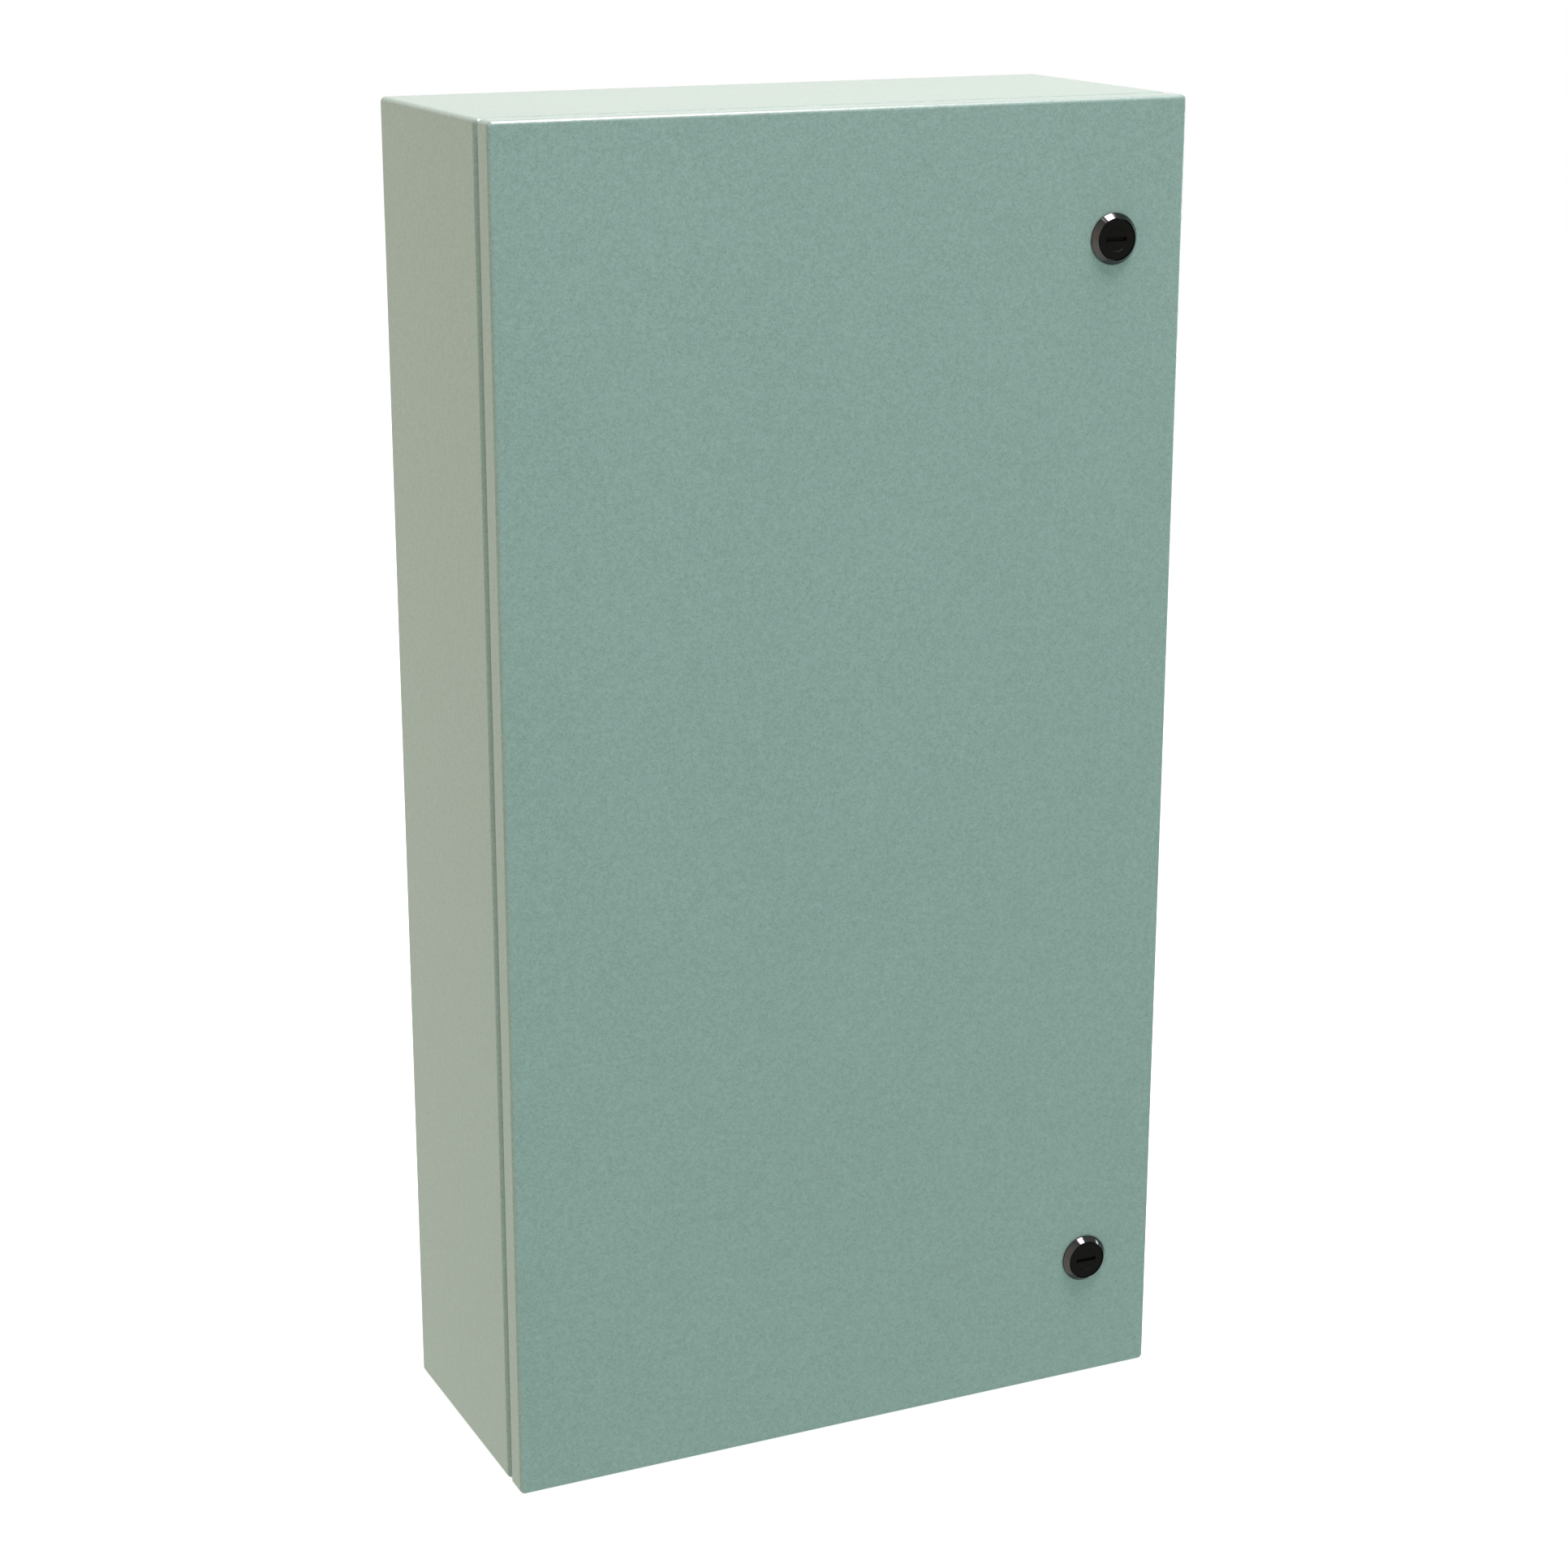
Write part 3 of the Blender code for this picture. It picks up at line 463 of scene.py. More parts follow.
def cut(piece, prisms):
    """Cuts straight prisms, each a pair of rings, out of the piece."""
    bm = bmesh.new()
    for rings in prisms:
        add_loft(bm, rings, closed=False)
    cutter = object_of("cutter", bm)
    modifier = piece.modifiers.new("cut", "BOOLEAN")
    modifier.operation = "DIFFERENCE"
    modifier.solver = "EXACT"
    modifier.object = cutter
    settle(piece)
    bpy.data.objects.remove(cutter)
    return piece


def soften(piece, bevel=0.0):
    """Rounds the sharp edges by bevel, and lets large flat faces keep their flat shading."""
    piece.data.set_sharp_from_angle(angle=SMOOTH_UNDER)
    if bevel:
        modifier = piece.modifiers.new("edges", "BEVEL")
        modifier.width = bevel
        modifier.segments = 3
        modifier.limit_method = "ANGLE"
        modifier.angle_limit = math.radians(40)
        settle(piece)
    piece.data.shade_smooth()
    piece.data.set_sharp_from_angle(angle=SMOOTH_UNDER)
    modifier = piece.modifiers.new("flat_faces", "WEIGHTED_NORMAL")
    modifier.keep_sharp = True
    return settle(piece)


def put(piece, place, turn=None):
    """Turns the piece about its origin and moves it, in its mesh, so that textures stay in metres."""
    matrix = Matrix.Translation(place)
    piece.data.transform(matrix @ turn if turn else matrix)
    return piece


ALONG_Z = Matrix.Rotation(math.radians(90), 4, "X")
print("shapes are lofts, cut with Booleans and softened with small bevels")

# %% [markdown]
# ## Folded sheet
# A press brake folds the body and the door from flat sheet, so every corner is a round fold of even
# thickness. The section is drawn once as a line down the middle of the sheet, given an arc at each fold
# and a thickness, and then carried round the cabinet's outline. That keeps the thickness true at every
# fold, which a bevelled box would not.

# %% Sections of folded sheet
SHEET = 1.5 * MM
EDGE_RADIUS = 3.0 * MM
SHARPEST = 0.4 * MM
FOLD_STEPS = 8
END_STEPS = 4
END_ROUND = 0.35 * MM


def folded_line(path):
    """Pairs of a point and a normal down the sheet's middle. A path point is (inset, y, inside radius)."""
    made = []
    for k, (inset, y, radius) in enumerate(path):
        here = Vector((inset, y))
        if k in (0, len(path) - 1):
            other = Vector(path[1 if k == 0 else k - 1][:2])
            along = (other - here if k == 0 else here - other).normalized()
            made.append((here, Vector((-along.y, along.x))))
            continue
        before = (Vector(path[k - 1][:2]) - here).normalized()
        after = (Vector(path[k + 1][:2]) - here).normalized()
        turn = -before.x * after.y + before.y * after.x
        middle_radius = radius + SHEET / 2
        half = before.angle(after) / 2
        centre = here + (before + after).normalized() * middle_radius / math.sin(half)
        first = here + before * middle_radius / math.tan(half) - centre
        sweep = math.copysign(math.pi - 2 * half, turn)
        for step in range(FOLD_STEPS + 1):
            spoke = Matrix.Rotation(sweep * step / FOLD_STEPS, 2) @ first
            made.append((centre + spoke, spoke.normalized() * (-1 if turn > 0 else 1)))
    return made


def folded_section(path):
    """The outline of the folded sheet, with its last cut edge rounded by the paint."""
    line = folded_line(path)
    tip, across = line[-1]
    forward = (tip - line[-2][0]).normalized()
    line[-1] = (tip - forward * END_ROUND, across)
    nose = []
    for k in range(1, END_STEPS * 2):
        angle = math.pi * (0.5 - k / (END_STEPS * 2))
        reach = forward * END_ROUND * math.cos(angle) + across * SHEET / 2 * math.sin(angle)
        nose.append(tip - forward * END_ROUND + reach)
    left = [point + normal * SHEET / 2 for point, normal in line]
    right = [point - normal * SHEET / 2 for point, normal in line]
    return left + nose + right[::-1]


def round_the_cabinet(name, section, corner=EDGE_RADIUS, closed=False):
    """Carries a section of (inset, y) points round the cabinet's outline."""
    rings = []
    for inset, y in section:
        outline = rounded_rectangle(width - 2 * inset, height - 2 * inset, max(corner - inset, SHARPEST))
        rings.append(at(outline, y))
    return loft(name, rings, closed)


print(f"sheet {SHEET / MM:.1f} mm thick, each fold an arc of {FOLD_STEPS} steps")

# %% [markdown]
# ## The body
# One folded shell: a back wall, four sides, a front flange and a lip that turns forward again. The lip
# is the gutter that keeps rain off the seal. The back wall has four fixing holes, and the bottom has a
# slot for the gland plate with six holes round it.

# %% Build the body
door_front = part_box("door_panel")[0].y
flange_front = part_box("upper_hinge_arm")[1].y + TOUCH
lip_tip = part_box("enclosure_body")[0].y
SEAL_WIDTH = 9.0 * MM
seal_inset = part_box("door_gasket")[0].x - cad_box[0].x
lip_inset = seal_inset + SEAL_WIDTH / 2
FLAT_FROM = 30.0 * MM
GLAND_OVERLAP = 20.0 * MM
GLAND_CORNER = 6.0 * MM
GLAND_HOLE = 2.5 * MM
WALL_HOLE = 4.35 * MM

plugs = sorted(node for node in frame["nodes"] if node.startswith("wall_hole_plug"))
gland_screws = sorted(node for node in frame["nodes"] if node.startswith("gland_plate_screw"))
half_sheet = SHEET / 2
body_path = [
    (FLAT_FROM, -half_sheet, 0),
    (half_sheet, -half_sheet, 1.5 * MM),
    (half_sheet, flange_front + half_sheet, 2.2 * MM),
    (lip_inset, flange_front + half_sheet, 1.0 * MM),
    (lip_inset, lip_tip, 0),
]
body = round_the_cabinet("cabinet_shell", folded_section(body_path))
back_holes = []
for plug in plugs:
    hole = shifted(circle(WALL_HOLE), middle_of(plug).x, middle_of(plug).z)
    back_holes.append((at(hole, -2 * SHEET), at(hole, SHEET)))


def upright(outline, low, high):
    """A prism that stands on end: the outline is in plan."""
    return [[Vector((x, y, z)) for x, y in outline] for z in (low, high)]


gland_low, gland_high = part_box("gland_plate")
gland_middle = (gland_low + gland_high) / 2
slot_size = [side - 2 * GLAND_OVERLAP for side in (gland_high - gland_low)[:2]]
slot_outline = shifted(rounded_rectangle(*slot_size, GLAND_CORNER), gland_middle.x, gland_middle.y)
bottom = cad_box[0].z
bottom_holes = [upright(slot_outline, bottom - SHEET, bottom + 2 * SHEET)]
for screw in gland_screws:
    hole = shifted(circle(GLAND_HOLE, 24), middle_of(screw).x, middle_of(screw).y)
    bottom_holes.append(upright(hole, bottom - SHEET, bottom + 2 * SHEET))
cut(body, back_holes + bottom_holes)
stand_for(soften(body), "enclosure_body")
print(f"body with {len(back_holes)} holes in its back and {len(bottom_holes)} in its bottom")

# %% [markdown]
# ## The door
# A shallow tray that covers the body's front. Its sides fold back and stop a few millimetres short of
# the body, so a dark line runs all round. Two holes with flats take the latches and keep them from
# turning.

# %% Build the door
BARREL_RADIUS = 10.9 * MM
BARREL_FLATS = 20.0 * MM
door_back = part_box("door_panel")[1].y
door_path = [
    (FLAT_FROM, door_front + half_sheet, 0),
    (half_sheet, door_front + half_sheet, 1.0 * MM),
    (half_sheet, door_back, 0),
]
door = round_the_cabinet("door_shell", folded_section(door_path))
latch_holes = []
for side in ("upper", "lower"):
    centre = middle_of(f"{side}_latch_housing")
    hole = with_flats(circle(BARREL_RADIUS + TOUCH), BARREL_FLATS + 2 * TOUCH)
    hole = shifted(hole, centre.x, centre.z)
    latch_holes.append((at(hole, door_front - SHEET), at(hole, door_front + 2 * SHEET)))
cut(door, latch_holes)
stand_for(soften(door), "door_panel")
door_gap = flange_front - door_back
print(f"door {(door_back - door_front) / MM:.1f} mm thick, {door_gap / MM:.1f} mm off the body")

# %% [markdown]
# ## The door's seal
# Liquid foam is poured round the door in one bead and sets as a flat-topped cushion. The body's lip
# presses into it. The bead's section is carried round the door, with wide corners, because the pouring
# nozzle can't turn sharply.

# %% Build the seal
SEAL_CORNER = 8.0 * MM
SEAL_SHOULDER = 2.2 * MM
seal_front, seal_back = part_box("door_gasket")[0].y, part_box("door_gasket")[1].y
seal_section = [(seal_inset, seal_front), (seal_inset + SEAL_WIDTH, seal_front)]
shoulders = ((seal_inset + SEAL_WIDTH - SEAL_SHOULDER, 0.0), (seal_inset + SEAL_SHOULDER, 0.5))
for centre_inset, start in shoulders:
    for k in range(FOLD_STEPS + 1):
        angle = math.pi * (start + 0.5 * k / FOLD_STEPS)
        across = centre_inset + SEAL_SHOULDER * math.cos(angle)
        seal_section.append((across, seal_back - SEAL_SHOULDER * (1 - math.sin(angle))))
seal = round_the_cabinet("foam_bead", seal_section, corner=seal_inset + SEAL_CORNER, closed=True)
stand_for(soften(seal), "door_gasket")
print(f"seal {SEAL_WIDTH / MM:.0f} mm wide and {(seal_back - seal_front) / MM:.1f} mm thick")

# %% [markdown]
# ## Parts that only need their edges softened
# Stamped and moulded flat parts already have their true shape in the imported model, but real edges are
# never perfectly sharp: a small round catches a line of light. A copy is welded, its coplanar triangles
# are joined into faces, and a narrow bevel is added.

# %% Soften copies of the flat parts
EDGE_OF = {
    "mounting_panel": 0.35 * MM,
    "gland_plate": 0.4 * MM,
    "gland_plate_gasket": 0.3 * MM,
    "document_pocket": 0.45 * MM,
    "upper_hinge_arm": 0.25 * MM,
    "lower_hinge_arm": 0.25 * MM,
    "upper_hinge_leaf": 0.2 * MM,
    "lower_hinge_leaf": 0.2 * MM,
    "upper_latch_cam": 0.35 * MM,
    "lower_latch_cam": 0.35 * MM,
}
WELD = 0.002 * MM


def softened_copy(node, bevel):
    bm = bmesh.new()
    bm.from_mesh(frame["nodes"][node].data)
    bmesh.ops.remove_doubles(bm, verts=bm.verts, dist=WELD)
    bmesh.ops.dissolve_limit(bm, angle_limit=math.radians(1), verts=bm.verts, edges=bm.edges)
    return soften(object_of(node + "_soft", bm), bevel)


for node, bevel in EDGE_OF.items():
    stand_for(softened_copy(node, bevel), node)
print(f"{len(EDGE_OF)} parts softened")

# %% [markdown]
# ## Threads, studs, nuts and screws
# A thread is a ramp that winds round a rod. Each ring of the loft moves in and out with the angle and
# with its place along the axis, so one pitch later the pattern repeats one turn further: a true helix.
# Nuts and screw heads are hexagons whose corners a chamfer has cut back to a circle.

# %% Threads
THREAD_POINTS = 24
THREAD_RINGS = 6
THREAD_SLOPE = 0.85  # share of the pitch that is sloped, the rest is crest
CORNER_CUT = 0.995  # what a chamfer leaves of a hexagon's corner
CHAMFER = 0.08  # its height, and the radius at its end, as shares of the width over the flats
CHAMFER_END = 0.475


def thread_cut(along, angle, pitch, depth):
    """How deep the groove is at a place on the rod."""
    phase = (along / pitch - angle / (2 * math.pi)) % 1
    return depth * max(0.0, THREAD_SLOPE - abs(2 * phase - 1))


def thread(radius, pitch, start, end):
    """Rings of a rod with a thread cut into it, from start to end along its axis."""
    count = math.ceil(abs(end - start) / pitch * THREAD_RINGS)
    rings = []
    for k in range(count + 1):
        along = start + (end - start) * k / count
        ring = []
        for angle in turn_steps(THREAD_POINTS):
            reach = radius - thread_cut(along, angle, pitch, 0.5 * pitch)
            ring.append((reach * math.cos(angle), reach * math.sin(angle)))
        rings.append(at(ring, along))
    return rings


def hexagon_head(flats, start, end, count=ROUND):
    """Rings of a hexagon with chamfered corners at its end."""
    corner = flats / 2 / math.cos(math.pi / 6)
    step = math.copysign(CHAMFER * flats, end - start)
    return [
        at(polygon(flats, 6, corner * CORNER_CUT, count), start),
        at(polygon(flats, 6, corner * CORNER_CUT, count), end - step),
        at(polygon(flats, 6, flats * CHAMFER_END, count), end),
    ]


print(f"a thread has {THREAD_RINGS} rings in each pitch")

# %% Panel studs and nuts
STUD_RADIUS = 4.0 * MM
STUD_PITCH = 1.25 * MM
COLLAR = 7.0 * MM
COLLAR_EDGE = 0.3 * MM
collar_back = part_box("panel_stud_1")[1].y
collar_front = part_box("mounting_panel")[1].y + TOUCH
stud_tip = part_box("panel_stud_1")[0].y
nut_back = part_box("panel_nut_1")[1].y
nut_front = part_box("panel_nut_1")[0].y
NUT_FLANGE = 8.5 * MM
NUT_FLANGE_THICKNESS = 1.5 * MM
NUT_FLATS = 13.0 * MM

for number in range(1, 5):
    place = middle_of(f"panel_stud_{number}") * Vector((1, 0, 1))
    rings = [
        at(circle(COLLAR - COLLAR_EDGE, THREAD_POINTS), collar_back),
        at(circle(COLLAR, THREAD_POINTS), collar_back - COLLAR_EDGE),
        at(circle(COLLAR, THREAD_POINTS), collar_front + 0.5 * MM),
        at(circle(COLLAR - 0.5 * MM, THREAD_POINTS), collar_front),
        *thread(STUD_RADIUS, STUD_PITCH, collar_front, stud_tip + 0.8 * MM),
        at(circle(STUD_RADIUS * 0.75, THREAD_POINTS), stud_tip),
    ]
    stand_for(put(soften(loft(f"threaded_stud_{number}", rings)), place), f"panel_stud_{number}")
    bore = STUD_RADIUS + TOUCH
    flange_front_y = nut_back - NUT_FLANGE_THICKNESS
    rings = [
        at(circle(bore), nut_back),
        at(circle(NUT_FLANGE - 0.2 * MM), nut_back),
        at(circle(NUT_FLANGE), nut_back - 0.3 * MM),
        at(circle(NUT_FLANGE - 0.4 * MM), nut_back - 0.9 * MM),
        *hexagon_head(NUT_FLATS, flange_front_y, nut_front),
        at(circle(bore + 0.5 * MM), nut_front),
        at(circle(bore), nut_front + 0.5 * MM),
    ]
    stand_for(put(soften(loft(f"flange_nut_{number}", rings, closed=True)), place), f"panel_nut_{number}")
print("4 studs with flange nuts hold the panel")

# %% [markdown]
# ## Earth studs
# A brass stud is welded to the body and another to the door, so that both can be bonded to earth. Each
# has a nut. The same shape serves both: the body's is turned so that it points to the right, off the
# left wall.

# %% Earth studs and nuts
EARTH_RADIUS = 3.0 * MM
EARTH_PITCH = 1.0 * MM
EARTH_COLLAR = 4.5 * MM
EARTH_COLLAR_THICKNESS = 1.2 * MM
EARTH_LENGTH = 16.0 * MM
EARTH_FLATS = 10.0 * MM
EARTH_NUT = 5.0 * MM
nut_start = 2 * TOUCH + EARTH_COLLAR_THICKNESS
TURN_RIGHT = Matrix.Rotation(math.radians(-90), 4, "Z")
body_stud = middle_of("body_earth_stud")
body_stud.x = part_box("body_earth_stud")[0].x - TOUCH
door_stud = middle_of("door_earth_stud")
door_stud.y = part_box("door_earth_stud")[0].y - TOUCH
earth_places = {"body": (body_stud, TURN_RIGHT), "door": (door_stud, None)}
for owner, (place, turn) in earth_places.items():
    rings = [
        at(circle(EARTH_COLLAR, THREAD_POINTS), TOUCH),
        at(circle(EARTH_COLLAR, THREAD_POINTS), TOUCH + EARTH_COLLAR_THICKNESS * 0.6),
        at(circle(EARTH_COLLAR * 0.85, THREAD_POINTS), TOUCH + EARTH_COLLAR_THICKNESS),
        *thread(EARTH_RADIUS, EARTH_PITCH, TOUCH + EARTH_COLLAR_THICKNESS, EARTH_LENGTH - 0.7 * MM),
        at(circle(EARTH_RADIUS * 0.75, THREAD_POINTS), EARTH_LENGTH),
    ]
    stand_for(put(soften(loft(f"{owner}_brass_stud", rings)), place, turn), f"{owner}_earth_stud")
    bore = EARTH_RADIUS + TOUCH
    rings = [
        at(circle(bore), nut_start),
        at(polygon(EARTH_FLATS, 6, EARTH_FLATS * 0.49), nut_start),
        *hexagon_head(EARTH_FLATS, nut_start + 0.6 * MM, nut_start + EARTH_NUT),
        at(circle(bore + 0.4 * MM), nut_start + EARTH_NUT),
        at(circle(bore), nut_start + EARTH_NUT - 0.4 * MM),
    ]
    stand_for(put(soften(loft(f"{owner}_nut", rings, closed=True)), place, turn), f"{owner}_earth_nut")
print("2 brass studs with nuts")

# %% [markdown]
# ## Plugs and gland-plate screws
# Rubber plugs close the wall holes until the cabinet is hung. Six hexagon screws clamp the gland plate
# and its seal to the bottom. Both are turned shapes, drawn once and repeated at each hole.

# %% Rubber plugs
PLUG_HEAD = 7.5 * MM
PLUG_THICKNESS = 1.6 * MM
PLUG_RIM = 0.25  # share of the head's thickness that is straight, below the dome
PLUG_CROWN = 2.2 * MM
PLUG_EDGE = 0.4 * MM
PLUG_STEPS = 7
plug_neck = WALL_HOLE - TOUCH
plug_inside = -SHEET - TOUCH
for number, node in enumerate(plugs, 1):
    rings = [
        at(circle(plug_neck - PLUG_EDGE), -TOUCH),
        at(circle(plug_neck), -TOUCH - PLUG_EDGE),
        at(circle(plug_neck), plug_inside),
        at(circle(PLUG_HEAD - 0.2 * MM), plug_inside),
    ]
    for k in range(PLUG_STEPS):
        angle = math.pi / 2 * k / PLUG_STEPS
        radius = PLUG_HEAD - PLUG_CROWN * (1 - math.cos(angle))
        rise = PLUG_THICKNESS * (PLUG_RIM + (1 - PLUG_RIM) * math.sin(angle))
        rings.append(at(circle(radius), plug_inside - rise))
    rings.append(at(circle(PLUG_HEAD * 0.45), plug_inside - PLUG_THICKNESS))
    place = middle_of(node) * Vector((1, 0, 1))
    stand_for(put(soften(loft(f"rubber_plug_{number}", rings)), place), node)
print(f"{len(plugs)} plugs")

# %% Gland-plate screws
SCREW_FLATS = 8.0 * MM
SCREW_HEAD = 3.5 * MM
SCREW_RADIUS = 2.2 * MM
SCREW_PITCH = 0.8 * MM
for number, node in enumerate(gland_screws, 1):
    low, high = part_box(node)
    under_head = high.z - SCREW_HEAD
    rings = [
        at(circle(SCREW_FLATS * 0.3, THREAD_POINTS), high.z - 0.5 * MM),
        at(circle(SCREW_FLATS * 0.36, THREAD_POINTS), high.z),
        *hexagon_head(SCREW_FLATS, under_head + 0.4 * MM, high.z, THREAD_POINTS)[::-1],
        at(circle(SCREW_FLATS * 0.49, THREAD_POINTS), under_head),
        *thread(SCREW_RADIUS, SCREW_PITCH, under_head, low.z),
    ]
    place = Vector((middle_of(node).x, middle_of(node).y, 0))
    stand_for(put(soften(loft(f"hexagon_screw_{number}", rings)), place, ALONG_Z), node)
print(f"{len(gland_screws)} screws")

# %% [markdown]
# ## Hinge pins
# Each pin drops through an ear, the arm's eye and a second ear, and its domed head rests on the upper
# ear. It stands upright, so the turned shape is stood on end.

# %% Hinge pins
PIN_RADIUS = 2.0 * MM
PIN_HEAD = 1.4 * MM
PIN_CROWN = 1.6 * MM
PIN_POINT = 1.2 * MM
PIN_STEPS = 6
for side in ("upper", "lower"):
    node = f"{side}_hinge_pin"
    low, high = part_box(node)
    head_radius = (high.x - low.x) / 2
    under_head = high.z - PIN_HEAD
    rings = [at(circle(PIN_RADIUS * 0.7), low.z), at(circle(PIN_RADIUS), low.z + PIN_POINT)]
    rings += [at(circle(PIN_RADIUS), under_head), at(circle(head_radius - 0.1 * MM), under_head)]
    for k in range(PIN_STEPS):
        angle = math.pi / 2 * k / PIN_STEPS
        radius = head_radius - PIN_CROWN * (1 - math.cos(angle))
        rings.append(at(circle(radius), high.z - PIN_HEAD * 0.8 * (1 - math.sin(angle))))
    rings.append(at(circle(head_radius * 0.4), high.z))
    place = Vector((middle_of(node).x, middle_of(node).y, 0))
    stand_for(put(soften(loft(f"{side}_pin", rings)), place, ALONG_Z), node)
print("2 hinge pins")

# %% [markdown]
# ## The latches
# These two are the only shiny things on the front, so they get the finest rounds. A dark chrome cone
# frames a black disc, and the disc has a shallow round recess and a slot for a screwdriver. Behind the
# door come a threaded barrel with two flats, its nut, and a cam on a square. Only the disc, its shaft,
# the cam, the washer and the screw turn.

# %% Latch sizes
FINE = 96
CONE_HEIGHT = 4.0 * MM
CONE_RIM = 1.0 * MM
CONE_LIP = 0.25 * MM
cone_radius = (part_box("upper_latch_housing")[1].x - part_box("upper_latch_housing")[0].x) / 2
barrel_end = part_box("upper_latch_housing")[1].y - door_front
DISC_RADIUS = 11.2 * MM
DISC_SEAT = 1.8 * MM
RECESS_RADIUS = 6.8 * MM
RECESS = 0.4 * MM
DISC_ROUND = 0.35 * MM
ROTOR_RADIUS = 8.0 * MM
SPINDLE_RADIUS = 6.0 * MM
BARREL_WALL = 2.0 * MM
BARREL_PITCH = 1.5 * MM
BARREL_GROOVE = 0.45 * BARREL_PITCH
SQUARE = 8.0 * MM
cam_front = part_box("upper_latch_cam")[0].y - door_front
cam_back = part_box("upper_latch_cam")[1].y - door_front
washer_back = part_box("upper_latch_cam_washer")[1].y - door_front
cam_depth = cam_front + door_front - flange_front
print(f"latch flange {2 * cone_radius / MM:.1f} mm across, cam {cam_depth / MM:.1f} mm inside the body")

# %% Housings, seals and nuts
SEAL_RING_INNER = BARREL_RADIUS + 4 * TOUCH
SEAL_RING_WIDTH = 1.0 * MM
SEAL_RING = 0.8 * MM
LATCH_NUT_FLATS = 27.0 * MM
LATCH_NUT = 5.0 * MM


def barrel_ring(outline, along):
    return at(with_flats(outline, BARREL_FLATS), along)


def build_housing(side):
    mouth = DISC_RADIUS + TOUCH
    groove = -2 * TOUCH - SEAL_RING
    barrel_start = SHEET + TOUCH
    rings = [
        at(circle(mouth, FINE), -CONE_HEIGHT + 0.2 * MM),
        at(circle(mouth + CONE_LIP / 2, FINE), -CONE_HEIGHT),
        at(circle(mouth + CONE_LIP, FINE), -CONE_HEIGHT + 0.08 * MM),
        at(circle(cone_radius - 0.12 * MM, FINE), -CONE_RIM - 0.1 * MM),
        at(circle(cone_radius, FINE), -CONE_RIM + 0.1 * MM),
        at(circle(cone_radius, FINE), -TOUCH),
        at(circle(SEAL_RING_INNER + SEAL_RING_WIDTH + TOUCH, FINE), -TOUCH),
        at(circle(SEAL_RING_INNER + SEAL_RING_WIDTH + TOUCH, FINE), groove),
        at(circle(SEAL_RING_INNER - TOUCH, FINE), groove),
        at(circle(SEAL_RING_INNER - TOUCH, FINE), -TOUCH),
        barrel_ring(circle(BARREL_RADIUS, FINE), -TOUCH),
        barrel_ring(circle(BARREL_RADIUS, FINE), barrel_start),
    ]
    turns = math.ceil((barrel_end - barrel_start) / BARREL_PITCH * THREAD_RINGS)
    for k in range(turns + 1):
        along = barrel_start + (barrel_end - barrel_start) * k / turns
        ring = []
        for angle in turn_steps(FINE):
            reach = BARREL_RADIUS - thread_cut(along, angle, BARREL_PITCH, BARREL_GROOVE)
            ring.append((reach * math.cos(angle), reach * math.sin(angle)))
        rings.append(barrel_ring(ring, along))
    inside = barrel_end - BARREL_WALL
    rings += [
        at(circle(SPINDLE_RADIUS + TOUCH, FINE), barrel_end),
        at(circle(SPINDLE_RADIUS + TOUCH, FINE), inside),
        at(circle(ROTOR_RADIUS + TOUCH, FINE), inside),
        at(circle(ROTOR_RADIUS + TOUCH, FINE), -DISC_SEAT),
        at(circle(mouth, FINE), -DISC_SEAT),
    ]
    return soften(loft(f"{side}_chrome_housing", rings, closed=True))


def build_latch_seal(side):
    outer = SEAL_RING_INNER + SEAL_RING_WIDTH
    outline = rounded_rectangle(SEAL_RING_WIDTH, SEAL_RING, 0.25 * MM, steps=3)
    middle_radius = (SEAL_RING_INNER + outer) / 2
    rings = [at(circle(middle_radius + r, FINE), -TOUCH - SEAL_RING / 2 + y) for r, y in outline]
    return soften(loft(f"{side}_rubber_ring", rings, closed=True))


def build_latch_nut(side):
    start = SHEET + TOUCH
    bore = BARREL_RADIUS + TOUCH
    rings = [
        at(circle(bore + 0.3 * MM), start),
        at(polygon(LATCH_NUT_FLATS, 6, LATCH_NUT_FLATS * 0.52), start),
        *hexagon_head(LATCH_NUT_FLATS, start + 0.8 * MM, start + LATCH_NUT),
        at(circle(bore + 0.5 * MM), start + LATCH_NUT),
        at(circle(bore), start + LATCH_NUT - 0.5 * MM),
        at(circle(bore), start + 0.3 * MM),
    ]
    return soften(loft(f"{side}_barrel_nut", rings, closed=True))


latch_places = {}
for side in ("upper", "lower"):
    centre = middle_of(f"{side}_latch_housing")
    latch_places[side] = Vector((centre.x, door_front, centre.z))
    stand_for(put(build_housing(side), latch_places[side]), f"{side}_latch_housing")
    stand_for(put(build_latch_seal(side), latch_places[side]), f"{side}_latch_seal")
    stand_for(put(build_latch_nut(side), latch_places[side]), f"{side}_latch_nut")
print("2 chrome housings with seals and nuts")

# %% Inserts, washers and cam screws
SLOT_LENGTH = 13.0 * MM
SLOT_WIDTH = 2.4 * MM
SLOT_DEPTH = 2.2 * MM
DISC_STEPS = 4
WASHER = 1.5 * MM
CAM_SCREW_RADIUS = 2.6 * MM
CAM_SCREW_FLATS = 10.0 * MM
WASHER_RADIUS = 8.0 * MM


